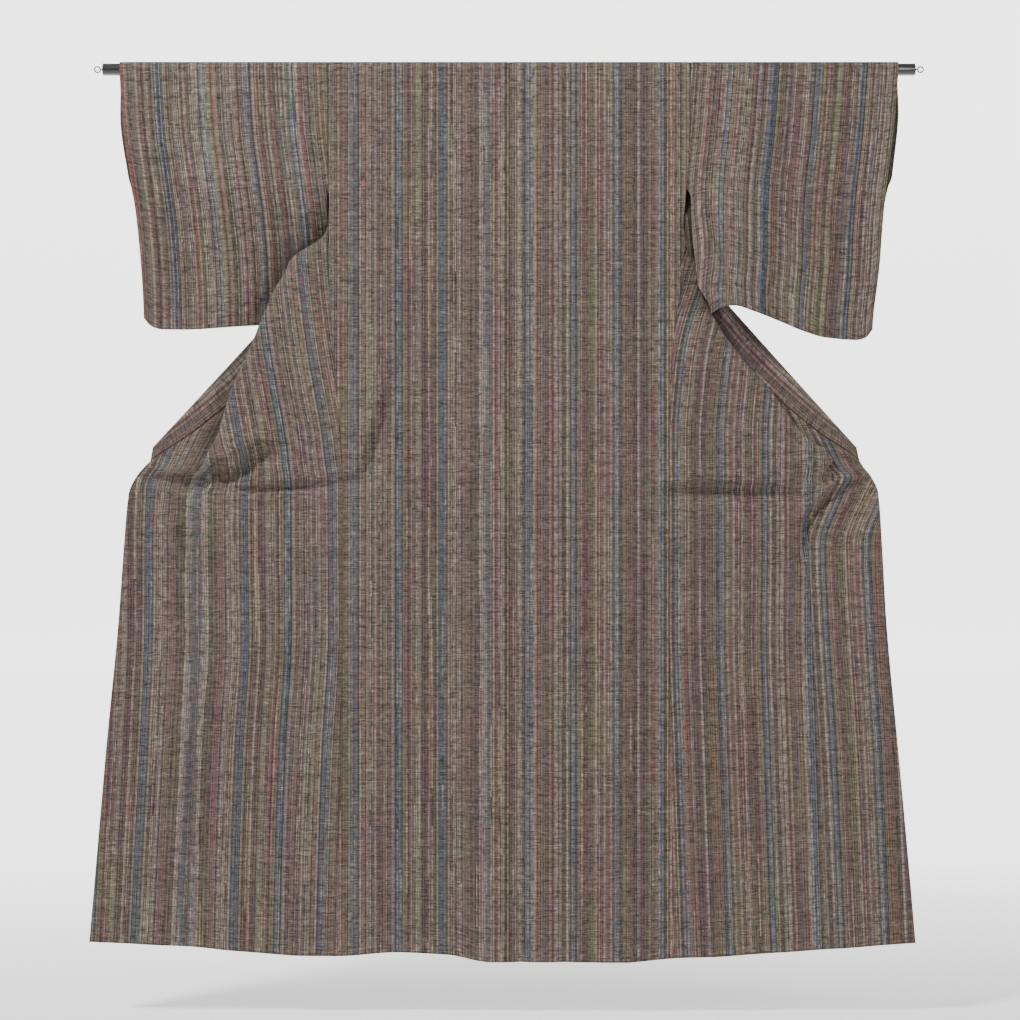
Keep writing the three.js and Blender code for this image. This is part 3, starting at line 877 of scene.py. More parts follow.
@dataclass(frozen=True)
class TwoToneFinish:
    """A plain finish whose colour drifts between two tones."""

    name: str
    tones: tuple[tuple[float, str], tuple[float, str]]   # where each tone is full, and its colour
    patch: tuple[float, float, float]                    # its size along X, Y and Z
    detail: float                                        # how much finer change it has within it
    surface: dict[str, float]                            # the shader's own settings

    def make(self) -> bpy.types.Material:
        """Builds the finish on the piece's own coordinates.

        Returns:
            The material.
        """
        made = new_material(self.name)
        tree = made.node_tree
        place = node(tree, "ShaderNodeTexCoord").outputs["Object"]
        change = tuple(1 / (size * MM) for size in self.patch)
        stretched = node(tree, "ShaderNodeMapping", {"Scale": change}, {0: place})
        drift = node(tree, "ShaderNodeTexNoise", {"Scale": 1.0, "Detail": self.detail}, {0: stretched})
        colour = node(tree, "ShaderNodeValToRGB", links={0: drift})
        fill_ramp(colour.color_ramp, list(self.tones), False)
        shader = node(tree, "ShaderNodeBsdfPrincipled", self.surface, {"Base Color": colour})
        node(tree, "ShaderNodeOutputMaterial", links={0: shader})
        return made


# Lacquer over wood, rubbed and polished, which gives a deep even shine with faint streaks along it
DARK_LACQUER = TwoToneFinish(
    "dark_polished_lacquer", ((0.42, "#1d1a19"), (0.66, "#2b2624")), (1000 / 3, 50 / 11, 50 / 11), 3.0,
    {"Roughness": 0.25, "Coat Weight": 0.6},
)
# Drawn steel wire, a little dulled, which gives a soft cloudy shine
DRAWN_WIRE = TwoToneFinish(
    "drawn_steel_wire", ((0.35, "#6f6a64"), (0.65, "#8d8984")), (10 / 9, 10 / 9, 10 / 9), 2.0,
    {"Roughness": 0.34, "Metallic": 1.0},
)
# Silk sewing thread, unevenly dyed, which looks dull and fine
SEWING_SILK = TwoToneFinish(
    "brown_sewing_silk", ((0.35, "#3d3430"), (0.65, "#5a4d45")), (2.5, 2.5, 2.5), 2.0,
    {"Roughness": 0.6},
)


@dataclass(frozen=True)
class PaleSweep:
    """Plain matt paper, pale and even, with painted light: it glows more and more towards the back."""

    name: str = "pale_paper_painted_glow"
    colour: str = "#fbfbfa"
    painted_glow: float = 2.3          # painted light: how strongly the far part glows, standing in for light from behind
    glow_from: float = -0.5     # where the glow starts along Y, in metres
    full_at: float = 2.0       # where it reaches its full strength

    def make(self) -> bpy.types.Material:
        """Builds the paper's finish.

        Returns:
            The material.
        """
        made = new_material(self.name)
        tree = made.node_tree
        paper = node(tree, "ShaderNodeTexCoord").outputs["Object"]
        place = node(tree, "ShaderNodeSeparateXYZ", links={0: paper})
        # Painted light: the paper's emission grows towards the back, so that the far part glows white
        glow_strength = node(
            tree, "ShaderNodeMapRange",
            {"From Min": self.glow_from, "From Max": self.full_at, "To Max": self.painted_glow},
            {"Value": place.outputs["Y"]},
        )
        shader = node(
            tree, "ShaderNodeBsdfPrincipled",
            {"Base Color": linear(self.colour), "Roughness": 0.95, "Emission Color": linear(self.colour)},
            {"Emission Strength": glow_strength},
        )
        node(tree, "ShaderNodeOutputMaterial", links={0: shader})
        return made


@dataclass(frozen=True)
class Cut:
    """A piece's flat size before it was hung, in metres."""

    width: float
    length: float
    area: float | None = None


@dataclass
class Wardrobe:
    """The finishes that the garment's pieces share."""

    face: bpy.types.Material
    # the cloth's wrong side: darker than the face partly for its duller reverse and partly as painted shade
    # for the shadowed insides of the cuffs, the slit and the sleeve bottoms
    wrong: bpy.types.Material
    lacquer: bpy.types.Material
    wire: bpy.types.Material
    thread: bpy.types.Material


def settle_in(piece: bpy.types.Object, cad: str) -> None:
    """Gives a finished piece its place in the frame.

    Args:
        piece: the piece.
        cad: the plain solid it stands for.
    """
    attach(piece, "root")
    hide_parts(cad)
    log.info("%s: %d faces", piece.name, len(piece.data.polygons))


@dataclass
class HandStitches:
    """A row of small, slightly uneven hand stitches along a line on the cloth."""

    name: str
    line: np.ndarray             # points along the row
    thread: bpy.types.Material
    spacing: float = 6.0
    length: float = 3.0
    width: float = 0.5
    seed: int = 7

    def build(self) -> None:
        """Makes and places the row."""
        edges = [(i, i + 1) for i in range(len(self.line) - 1)]
        guide_mesh = bpy.data.meshes.new(f"{self.name}_line")
        guide_mesh.from_pydata((self.line * MM).tolist(), edges, [])
        guide = placed(guide_mesh)
        tree = self._tree()
        modifier = guide.modifiers.new("stitches", "NODES")
        modifier.node_group = tree
        for name, value in (("Spacing", self.spacing), ("Length", self.length), ("Width", self.width)):
            modifier[tree.interface.items_tree[name].identifier] = value * MM
        graph = bpy.context.evaluated_depsgraph_get()
        sewn = bpy.data.meshes.new_from_object(guide.evaluated_get(graph))
        sewn.name = self.name
        guide.modifiers.remove(modifier)
        bpy.data.objects.remove(guide)
        piece = placed(sewn)
        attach(piece, "root")
        log.info("%s: %d faces", piece.name, len(piece.data.polygons))

    def _tree(self) -> bpy.types.NodeTree:
        """Builds the node tree that lays one rounded stitch at each place along the line.

        Returns:
            The tree.
        """
        tree = bpy.data.node_groups.new(self.name, "GeometryNodeTree")
        tree.interface.new_socket("Line", in_out="INPUT", socket_type="NodeSocketGeometry")
        for name in ("Spacing", "Length", "Width"):
            tree.interface.new_socket(name, in_out="INPUT", socket_type="NodeSocketFloat")
        tree.interface.new_socket("Stitches", in_out="OUTPUT", socket_type="NodeSocketGeometry")
        given = node(tree, "NodeGroupInput").outputs
        curve = node(tree, "GeometryNodeMeshToCurve", links={0: given["Line"]})
        places = node(
            tree, "GeometryNodeResampleCurve", {"mode": "LENGTH"},
            {"Curve": curve, "Length": given["Spacing"]},
        )
        turn = node(
            tree, "FunctionNodeAlignRotationToVector", {"axis": "X"},
            {"Vector": node(tree, "GeometryNodeInputTangent")},
        )
        uneven = node(tree, "FunctionNodeRandomValue", {2: 0.8, 3: 1.2, 8: self.seed})
        long = node(
            tree, "ShaderNodeMath", {"operation": "MULTIPLY"}, {0: given["Length"], 1: uneven.outputs[1]}
        )
        size = node(tree, "ShaderNodeCombineXYZ", links={0: long, 1: given["Width"], 2: given["Width"]})
        stitch = node(tree, "GeometryNodeMeshUVSphere", {"Segments": 8, "Rings": 6, "Radius": 0.5})
        row = node(
            tree, "GeometryNodeInstanceOnPoints",
            links={"Points": places, "Instance": stitch, "Rotation": turn, "Scale": size},
        )
        real = node(tree, "GeometryNodeRealizeInstances", links={0: row})
        dressed = node(tree, "GeometryNodeSetMaterial", {"Material": self.thread}, {"Geometry": real})
        node(tree, "NodeGroupOutput", links={0: dressed})
        return tree


# How far the back's open edge under the arm stands in from the sleeve, by height
SIDE_SLIT = {
    Side.LEFT: [(-330, 0), (-280, 3), (-205, 2), (-120, 0)],
    Side.RIGHT: [(-350, 0), (-300, 6), (-270, 11), (-205, 6), (-150, 2.5), (-100, 0)],
}


@dataclass
class BodyHalf:
    """Half of the body: one length of cloth up the back, over the rod and down the front."""

    side: Side
    wardrobe: Wardrobe
    cut: Cut = Cut(0.32, 3.14)
    hung_depth: float = -12.0        # of the back, well below the rod
    hem_thickness: float = 1.8       # the hem is turned up
    hem_width: float = 10.0
    column_step: float = 0.018       # share of the width between the mesh's columns
    turn_step: float = 9.0           # degrees between its rows over the rod
    neck_turns: int = 4              # rows over the rod that are cut out for the neck
    # Distance of the cloth's edge from the middle as it turns over the rod, by angle
    neck_rows: tuple[tuple[float, float], ...] = (
        (-90, SEAM_HOLD), (45, SEAM_HOLD), (60, SEAM_HOLD), (72, 26), (90, 44),
    )
    band_start: dict[Side, float] = field(default_factory=lambda: {Side.LEFT: 32.7, Side.RIGHT: 29.2})
    # Heights between which the front starts to reach under the narrow panel, and under the back
    panel_joins: tuple[float, float] = (-360, -420)
    side_joins: dict[Side, tuple[float, float]] = field(
        default_factory=lambda: {Side.LEFT: (-300, -330), Side.RIGHT: (-222, -245)}
    )

    def build(self) -> None:
        """Makes, dresses and places the piece."""
        sections = FrontSections(self.side)
        back, over = self._back(sections), self._over_rod()
        front, front_across = self._front(sections)
        grid = np.concatenate([back, over, front])
        across = np.concatenate([back[..., 0], over[..., 0], front_across]) - self.band_start[self.side]
        along = run_lengths(grid, 0)[:, -1:] + np.zeros(across.shape)
        from_hem = np.minimum(along, along.max() - along)
        inner, outer = self._allowances(grid[:, 0, 2], len(back) + len(over))
        piece = ClothMesh(
            f"kimono_body_{self.side.word}", grid, np.stack([across, along], -1),
            thickness=mix(self.hem_thickness, CLOTH_THICKNESS, smooth(0, self.hem_width, from_hem)),
            first_under=inner, last_under=outer, flip=self.side is Side.RIGHT,
        ).build(self.wardrobe.face, self.wardrobe.wrong)
        settle_in(piece, f"body_{self.side.word}")

    def _spread(self, rows: np.ndarray) -> tuple[np.ndarray, np.ndarray]:
        """The row's place and the share across the cloth at each point of a grid."""
        places, shares = np.meshgrid(rows, columns(self.column_step), indexing="ij")
        return places, shares

    def _back(self, sections: FrontSections) -> np.ndarray:
        """The back, from its hem up to the rod.

        Args:
            sections: the front that it is sewn to.

        Returns:
            Rows of points from the centre to the side seam.
        """
        z, share = self._spread(spaced(HEM_LEVEL, 0, FINE))
        edge = sections.track["side"](z) - Through(SIDE_SLIT[self.side])(z)
        depth = mix(-DRAPE_RADIUS, self.hung_depth, smooth(0, -300, z))
        return HANG.settle(self.side.value * mix(SEAM_HOLD, edge - SEAM_HOLD, share), depth, z)

    def _over_rod(self) -> np.ndarray:
        """The cloth that turns over the rod.

        Returns:
            Rows of points from the neck's cut to the sleeve's seam.
        """
        angles, share = self._spread(np.radians(spaced(-80, 80, self.turn_step)))
        neck = Through(list(self.neck_rows))(np.degrees(angles))
        out = self.side.value * mix(neck, SHOULDER - SEAM_HOLD, share)
        return np.stack([out, DRAPE_RADIUS * np.sin(angles), DRAPE_RADIUS * np.cos(angles)], axis=-1)

    def _front(self, sections: FrontSections) -> tuple[np.ndarray, np.ndarray]:
        """The front, from the rod down to its hem.

        Args:
            sections: how the front hangs.

        Returns:
            Rows of points to the side seam, and each point's place across the cloth.
        """
        z, share = self._spread(spaced(0, HEM_LEVEL, FINE))
        hold = np.where(z < -300, SEAM_HOLD, -SEAM_HOLD) * share - SEAM_HOLD * (1 - share)
        front = sections.points(z, sections.split(z) * (1 - share), hold)
        from_side = run_lengths(front[:, ::-1], 1)[:, ::-1]
        return front, self.side.value * (sections.track["side"](z) - from_side)

    def _allowances(self, level: np.ndarray, front_start: int) -> tuple[np.ndarray, np.ndarray]:
        """How far each row goes on under its neighbours.

        Args:
            level: height of each row.
            front_start: the front's first row.

        Returns:
            The reach past the inner edge and past the outer one.
        """
        row = np.arange(len(level))
        on_front = row >= front_start
        centre = (self.side is Side.LEFT) & (row < front_start - self.neck_turns)
        panel = on_front * smooth(*self.panel_joins, level)
        side = on_front * smooth(*self.side_joins[self.side], level)
        return mix(NO_ALLOWANCE, ALLOWANCE, centre + panel), mix(NO_ALLOWANCE, ALLOWANCE, side)


@dataclass
class NarrowPanel:
    """The narrow panel sewn to the front's edge, from the chest down to the hem."""

    side: Side
    wardrobe: Wardrobe
    cut: Cut = Cut(0.17, 1.30, 0.16)
    blunted: float = 6.0               # its pointed top stops this far short of the point
    least_width: float = 3.0           # narrower than this it isn't held off its seams
    column_step: float = 0.045         # share of the width between the mesh's columns
    lean: float = math.radians(26)     # slant of its stripes above the hips
    hips: float = -702.0
    first_band: float = 60.0

    def build(self) -> None:
        """Makes, dresses and places the piece."""
        sections = FrontSections(self.side)
        levels = spaced(sections.panel_top - self.blunted, HEM_LEVEL, FINE)
        z, share = np.meshgrid(levels, columns(self.column_step), indexing="ij")
        t = mix(sections.split(z), 3.0, share)
        width = np.ptp(sections.flat_points(z, t)[0], axis=1)[:, None]
        hold = np.where(width > self.least_width, SEAM_HOLD * (1 - 2 * share), 0.0)
        grid = sections.points(z, t, hold)
        along = run_lengths(grid, 0)[:, :1] + np.zeros(z.shape)
        across = self.side.value * self._across(sections, grid, z)
        piece = ClothMesh(
            f"kimono_front_panel_{self.side.word}", grid, np.stack([across, along], -1),
            flip=self.side is Side.LEFT,
        ).build(self.wardrobe.face, self.wardrobe.wrong)
        settle_in(piece, f"front_panel_{self.side.word}")

    def _across(self, sections: FrontSections, grid: np.ndarray, z: np.ndarray) -> np.ndarray:
        """Place across the cloth, whose stripes slant above the hips.

        Args:
            sections: how the front hangs.
            grid: the panel's points.
            z: their heights before the hem.

        Returns:
            The place of each point.
        """
        tuck = sections.track["tuck"]
        slanted = tuck(self.hips) - math.tan(self.lean) * (z - self.hips)
        line = np.where(z > self.hips, slanted, tuck(z))
        above = smooth(self.hips - 60, self.hips + 40, z)
        return (np.abs(grid[..., 0]) - line) * mix(1.0, math.cos(self.lean), above) + self.first_band


@dataclass
class CollarLine:
    """The collar's two edges, from one front, round the neck, to the other."""

    # From the neck down one side: height, free edge X, Z and Y, and lift off the body.
    # Past the neck the free edge runs straight, and its X is left out as 0.
    stations: tuple[tuple[float, ...], ...] = (
        (0, 42, -58, 23, 2.5), (-20, 80, -62, 29, 3.2), (-45, 98, -76, 34, 3.6), (-100, 130, -112, 39, 3.8),
        (-205, 0, -166, 36, 2), (-250, 0, -210, 34, 0.6), (-291, 0, -251, 33, 0), (-335, 0, -295, 33, 0),
        (-358, 0, -317, 33, 0), (-380, 0, -339, 33, 0), (-448, 0, -407, 32, 0), (-504, 0, -463, 29, 0),
        (-560, 0, -519, 26, 0), (-640, 0, -605, 18, 0), (-689, 0, -664, 10, 0),
    )
    slope: dict[Side, float] = field(default_factory=lambda: {Side.LEFT: 0.911, Side.RIGHT: 0.888})
    # Seam and free edge at the back of the neck, from left to right
    neck: tuple[tuple[tuple[float, float, float], ...], ...] = (
        ((-26, 14.8, 3.5), (-22, 21, -56)),
        ((0, 13.6, 5.5), (0, 20.5, -55)),
        ((26, 14.8, 3.5), (22, 21, -56)),
    )
    knots: int = 4             # rows of each side that the curve round the neck starts from
    neck_step: float = 4.0     # between the mesh's rows there
    start: float = 23.0        # where the free edge's straight line meets the rod's height
    clear: float = 0.8         # the seam edge stops this short of the body

    def branch(self, side: Side) -> np.ndarray:
        """Seam and free edge points down one side, from the neck.

        Args:
            side: which side.

        Returns:
            Rows of two points.
        """
        rows = [
            (z, x or self.start - self.slope[side] * edge_z, edge_z, y, lift)
            for z, x, edge_z, y, lift in self.stations
        ]
        track = tracks("z x edge_z y lift", rows)
        z = spaced(0, self.stations[-1][0], FINE)
        seam = FrontSections(side).points(z, np.full(z.shape, 3.0))
        seam[:, 1] += track["lift"](z)
        edge = np.stack([side.value * track["x"](z), track["y"](z), track["edge_z"](z)], axis=-1)
        return np.stack([seam, edge], axis=1)

    def rows(self) -> np.ndarray:
        """The collar from one front's end to the other's.

        Returns:
            Rows of two points, on the seam and on the free edge.
        """
        left, right = self.branch(Side.LEFT)[::-1], self.branch(Side.RIGHT)
        knots = np.concatenate([left[-self.knots:], np.array(self.neck), right[:self.knots]])
        steps = np.linalg.norm(np.diff(knots[:, 0], axis=0), axis=-1)
        place = np.concatenate([[0.0], np.cumsum(steps)])
        fine = spaced(place[self.knots - 1], place[-self.knots], self.neck_step)[1:-1]
        turned = np.stack([
            np.stack([Through(list(zip(place, knots[:, i, axis])))(fine) for axis in range(3)], axis=-1)
            for i in range(2)
        ], axis=1)
        return np.concatenate([left, turned, right])

    def grid(self, shares: np.ndarray) -> np.ndarray:
        """Points across the collar at each row.

        Args:
            shares: places from the seam edge to the free edge.

        Returns:
            The grid.
        """
        rows = self.rows()
        across = rows[:, 1] - rows[:, 0]
        start = self.clear / np.linalg.norm(across, axis=-1)
        reach = mix(start[:, None], 1.0, shares[None, :])
        return rows[:, None, 0] + across[:, None] * reach[..., None]


@dataclass
class Collar:
    """The collar, folded double, its outer edge drawn taut to each side."""

    wardrobe: Wardrobe
    line: CollarLine
    cut: Cut = Cut(0.055, 1.90, 0.09)
    column_step: float = 0.1                          # share of its width between the mesh's columns
    tucked_under: tuple[float, float] = (-300, -340)  # heights between which the front covers its seam
    first_band: float = 20.0

    def build(self) -> None:
        """Makes, dresses and places the piece."""
        shares = columns(self.column_step)
        grid = self.line.grid(shares)
        rounded = np.sqrt(smooth(-0.004, 0.04, np.minimum(shares, 1 - shares)))
        across = run_lengths(grid, 1) + self.first_band
        along = run_lengths(grid, 0)[:, :1] + np.zeros(across.shape)
        piece = ClothMesh(
            "kimono_collar", grid, np.stack([across, along], -1),
            thickness=COLLAR_THICKNESS * mix(0.25, 1.0, rounded),
            first_under=mix(NO_ALLOWANCE, ALLOWANCE, smooth(*self.tucked_under, grid[:, 0, 2])),
        ).build(self.wardrobe.face, self.wardrobe.face)
        settle_in(piece, "collar")


@dataclass
class OverCollar:
    """A strip of the same cloth that covers the collar round the neck."""

    wardrobe: Wardrobe
    line: CollarLine
    end: float = -380.0          # height of its two ends
    gap: float = 0.5             # between it and the collar
    stitch_lift: float = 0.1     # of the end stitches off its face
    first_band: float = 64.0
    cut: Cut = Cut(0.055, 0.92, 0.045)

    def build(self) -> None:
        """Makes, dresses and places the piece."""
        under = self.line.grid(spaced(0.02, 0.98, 0.08))
        normals = facing(under)
        outwards = math.copysign(1, normals[len(under) // 2, 0, 1])
        covered = under[:, 0, 2] >= self.end
        lift = outwards * (COLLAR_THICKNESS / 2 + CLOTH_THICKNESS / 2 + self.gap)
        grid = (under + normals * lift)[covered]
        across = run_lengths(grid, 1) + self.first_band
        along = run_lengths(grid, 0)[:, :1] + np.zeros(across.shape)
        piece = ClothMesh(
            "kimono_over_collar", grid, np.stack([across, along], -1), flip=outwards < 0
        ).build(self.wardrobe.face, self.wardrobe.wrong)
        settle_in(piece, "over_collar")
        face = grid + outwards * normals[covered] * (CLOTH_THICKNESS / 2 + self.stitch_lift)
        for side, end, inwards in ((Side.LEFT, 0, 1), (Side.RIGHT, -1, -2)):
            line = (face[end] + face[inwards]) / 2
            HandStitches(f"over_collar_end_stitches_{side.word}", line, self.wardrobe.thread).build()


# Each sleeve by height: its inner edge, its cuff, how far out the far side's cuff stands, how
# far its inner edge swings away, how far the cuff leans, and how open it is at each end
SLEEVE_NAMES = "z inner outer cuff_lap swing lean mouth cuff"
SLEEVE_ROWS = {
    Side.LEFT: [
        (0, 318.6, 684, 0, 0, 0, 26, 26), (-100, 318.6, 678, 7, 0, 1, 25, 24),
        (-190, 318.6, 665, 6, 0, 2, 22, 20), (-205, 318.6, 663, 3, 1, 3, 22, 12),
        (-250, 319, 657, 0, 18, 4, 20, 3.2), (-291, 319, 653, 0, 40, 5, 18, 3.2),
        (-335, 319.5, 649, 0, 65, 6, 16, 3.2), (-380, 320, 646, 0, 80, 7, 14, 3.2),
        (-425, 322, 644, 0, 92, 8, 13, 3.2), (-460, 324, 643, 0, 100, 9, 12, 3.2),
    ],
    Side.RIGHT: [
        (0, 318.6, 684, 1, 0, 0, 26, 26), (-100, 318.6, 676, 10, 0, 0, 25, 24),
        (-190, 318.6, 665, 10, 0, 0, 22, 20), (-205, 318.6, 663, 5, -1, 0, 22, 12),
        (-250, 319, 659, 0, -10, 0, 17, 3.2), (-291, 320, 656, 0, -20, 0, 14, 3.2),
        (-335, 324, 653, 0, -30, 0, 13, 3.2), (-380, 329, 648, 0, -38, 0, 12, 3.2),
        (-425, 350, 642, 0, -44, 0, 11, 3.2), (-478, 358, 638, 0, -48, 0, 10, 3.2),
    ],
}
# Height of each sleeve's bottom fold, by share of the way from its inner edge to its cuff
SLEEVE_BOTTOM = {
    Side.LEFT: [(0, -442), (0.37, -446), (0.5, -449), (0.8, -456), (0.9, -456), (0.96, -451), (1, -436)],
    Side.RIGHT: [
        (0, -433), (0.08, -421), (0.16, -418), (0.26, -427), (0.42, -445), (0.58, -463),
        (0.7, -472), (0.9, -476), (0.96, -472), (1, -457),
    ],
}
SLEEVE_CREASES = {
    Side.LEFT: (
        Crease(((-640, -250), (-560, -300), (-480, -430)), 3, 16, 0.5),
        Crease(((-350, -120), (-372, -300), (-360, -420)), -4, 22),
        Crease(((-470, -60), (-480, -250), (-450, -440)), -4, 34),
        Crease(((-600, -60), (-590, -220), (-600, -430)), 4, 30),
    ),
    Side.RIGHT: (
        Crease(((357, -240), (372, -320), (392, -400)), 6, 9, 0.6),
        Crease(((350, -262), (360, -340), (356, -410)), -5, 12),
        Crease(((440, -80), (455, -260), (470, -440)), -4, 32),
        Crease(((560, -70), (575, -250), (560, -440)), 4, 30),
        Crease(((640, -240), (600, -290), (560, -400)), 3, 14, 0.5),
    ),
}


@dataclass
class SleeveBag:
    """A sleeve: a flat bag over the rod, open at the cuff above and at the inner edge below."""

    side: Side
    wardrobe: Wardrobe
    cut: Cut = Cut(0.345, 0.96)
    power: float = 1.2           # how quickly the inner edge swings away from the cuff
    cuff: float = 684.0          # centre back to the cuff
    sewn_to: float = -205.0      # the seam to the body is shut down to here
    behind_slit: float = 1.5     # allowances that the right one's far side reaches in behind the slit
    band_start: float = 4.0
    column_step: float = 0.021   # share of the width between the mesh's columns
    row_step: float = 0.015      # share of the drop between its rows
    turn_step: float = 9.0       # degrees between its rows over the rod
    bottom_step: float = 22.5    # likewise round its bottom fold

    @cached_property
    def track(self) -> dict[str, Through]:
        """The table's columns as curves."""
        return tracks(SLEEVE_NAMES, SLEEVE_ROWS[self.side])

    def build(self) -> None:
        """Makes, dresses and places the piece."""
        grid = self._rings()
        from_inner = run_lengths(grid, 1)
        across = self.side.value * (self.cuff - (from_inner[:, -1:] - from_inner)) + self.band_start
        run = run_lengths(np.concatenate([grid, grid[:1]]), 0)[:, :1]
        along = run[:-1] + np.zeros(across.shape)
        piece = ClothMesh(
            f"kimono_sleeve_{self.side.word}", grid, np.stack([across, along], -1), lap=float(run[-1, 0]),
            first_under=self._allowance(grid[:, 0, 2]), flip=self.side is Side.LEFT,
        ).build(self.wardrobe.face, self.wardrobe.wrong)
        settle_in(piece, f"sleeve_{self.side.word}")

    def _allowance(self, level: np.ndarray) -> np.ndarray:
        """How far each row goes on under the body.

        Args:
            level: height of each row.

        Returns:
            The reach past the inner edge.
        """
        sewn = smooth(self.sewn_to - 20, self.sewn_to, level)
        if self.side is Side.RIGHT:
            # The far wall reaches in behind the slit beside the back
            far_wall = np.arange(len(level)) < np.argmax(level)
            slit = smooth(-205, -230, level) * smooth(-350, -325, level)
            sewn = sewn + self.behind_slit * far_wall * slit
        return mix(NO_ALLOWANCE, ALLOWANCE, sewn)

    def _rings(self) -> np.ndarray:
        """Goes once round the bag, up its far side and down its near one.

        Returns:
            Rows of points from the inner edge to the cuff.
        """
        u = columns(self.column_step)
        floor = Through(list(SLEEVE_BOTTOM[self.side]))(u)
        turn = self._gap(u, floor) / 2
        low = floor + turn
        z = spaced(0, 1, self.row_step)[:, None] * low
        angle = np.radians(spaced(0, 180, self.bottom_step))[1:-1, None]
        middle, out = self._near_y(u, low) + turn, self._reach(u, low, 0.0)
        under = self._row(out, middle - turn * np.cos(angle), low - turn * np.sin(angle))
        angle = np.radians(spaced(-90, 90, self.turn_step))[1:-1, None]
        out = self._reach(u, 0.0 * u, 0.0)
        over = self._row(out, DRAPE_RADIUS * np.sin(angle), DRAPE_RADIUS * np.cos(angle))
        return np.concatenate([self._wall(u, z, 1.0)[::-1], over[::-1], self._wall(u, z, 0.0), under])

    def _row(self, reach: np.ndarray, y: np.ndarray, z: np.ndarray) -> np.ndarray:
        """Points from distances out from the middle, depths and heights."""
        return np.stack(np.broadcast_arrays(self.side.value * reach, y, z), axis=-1)

    def _reach(self, u: np.ndarray, z: np.ndarray, far: float) -> np.ndarray:
        """Distance from the middle, from the inner edge at u = 0 to the cuff at u = 1."""
        cuff = self.track["outer"](z) + far * self.track["cuff_lap"](z)
        return mix(self.track["inner"](z) + SEAM_HOLD, cuff, u)

    def _near_y(self, u: np.ndarray, z: np.ndarray) -> np.ndarray:
        """Depth of the bag's side towards the camera.

        Args:
            u: shares of the way to the cuff.
            z: heights.

        Returns:
            The depths.
        """
        swung = self.track["swing"](z) * (1 - u) ** self.power
        flat = (DRAPE_RADIUS - 2) * u * smooth(-180, -300, z)
        return -DRAPE_RADIUS + swung + flat + self.track["lean"](z) * u

    def _gap(self, u: np.ndarray, z: np.ndarray) -> np.ndarray:
        """Space between the bag's two sides."""
        pinch = mix(1, 0.55, 4 * u * (1 - u) * smooth(-60, -300, z))
        return mix(self.track["mouth"](z), self.track["cuff"](z), u ** 3) * pinch

    def _wall(self, u: np.ndarray, z: np.ndarray, far: float) -> np.ndarray:
        """One side of the bag, creases included.

        Args:
            u: shares of the way to the cuff.
            z: heights.
            far: 0 for the side towards the camera, 1 for the far one.

        Returns:
            Rows of points.
        """
        x = self.side.value * self._reach(u, z, far)
        y = self._near_y(u, z) + far * self._gap(u, z)
        for crease in SLEEVE_CREASES[self.side]:
            y = y + crease.shift(x, z) * smooth(0, -60, z)
        return np.stack([x, y, z], axis=-1)


@dataclass
class HangingRod:
    """The straight lacquered rod, with a screw eye in each end."""

    wardrobe: Wardrobe
    radius: float = 10.8
    half: float = 714.5
    chamfer: float = 0.8
    eye_radius: float = 5.0
    eye_wire: float = 1.3
    eye_start: float = 0.3       # of the shank, past the rod's end
    eye_shank: float = 3.8
    eye_opening: float = 8.0     # degrees that the loop's ends stay off the shank's line

    def build(self) -> None:
        """Makes, dresses and places the rod and its screw eyes."""
        ends = [(self.radius - self.chamfer, -self.half), (self.radius, -self.half + self.chamfer)]
        profile = ends + [(radius, -place) for radius, place in ends[::-1]]
        turns = np.linspace(0, math.tau, 72, endpoint=False)
        rings = np.array([[(x, r * math.cos(a), r * math.sin(a)) for a in turns] for r, x in profile])
        settle_in(self._tube("hanging_rod", rings, self.wardrobe.lacquer), "rod")
        for side in Side:
            eye = self._tube(f"rod_eye_{side.word}", self._eye_rings(side), self.wardrobe.wire)
            settle_in(eye, f"screw_eye_{side.word}")

    def _eye_rings(self, side: Side) -> np.ndarray:
        """Sections of the wire along its shank and round its loop.

        Args:
            side: which end of the rod.

        Returns:
            Rows of points round the wire.
        """
        start = self.half + self.eye_start
        centre = start + 2 * self.eye_radius - self.eye_wire / 2
        turns = np.radians(np.linspace(self.eye_opening, 360 - self.eye_opening, 48))
        path = [(start + share * self.eye_shank, 0.0) for share in (0.0, 0.5, 1.0)]
        path += [(centre - self.eye_radius * math.cos(a), self.eye_radius * math.sin(a)) for a in turns]
        line = np.array([(side.value * x, 0.0, z) for x, z in path])
        run = np.gradient(line, axis=0)
        run /= np.linalg.norm(run, axis=1, keepdims=True)
        up = np.array((0.0, 1.0, 0.0))
        out = np.cross(run, up)[:, None]
        angles = np.linspace(0, math.tau, 14, endpoint=False)[None, :, None]
        return line[:, None] + self.eye_wire * (np.cos(angles) * out + np.sin(angles) * up)

    def _tube(self, name: str, rings: np.ndarray, material: bpy.types.Material) -> bpy.types.Object:
        """A smooth closed tube.

        Args:
            name: its name.
            rings: rings of points in millimetres, from one end to the other.
            material: its finish.

        Returns:
            The new object.
        """
        rows, cols = rings.shape[:2]
        faces = [
            (i * cols + j, i * cols + (j + 1) % cols, (i + 1) * cols + (j + 1) % cols, (i + 1) * cols + j)
            for i in range(rows - 1) for j in range(cols)
        ]
        faces.append(tuple(range(cols))[::-1])
        faces.append(tuple((rows - 1) * cols + j for j in range(cols)))
        mesh = bpy.data.meshes.new(name)
        mesh.from_pydata((rings.reshape(-1, 3) * MM).tolist(), [], faces)
        for polygon in mesh.polygons:
            polygon.use_smooth = len(polygon.vertices) == 4
        return placed(mesh, material)


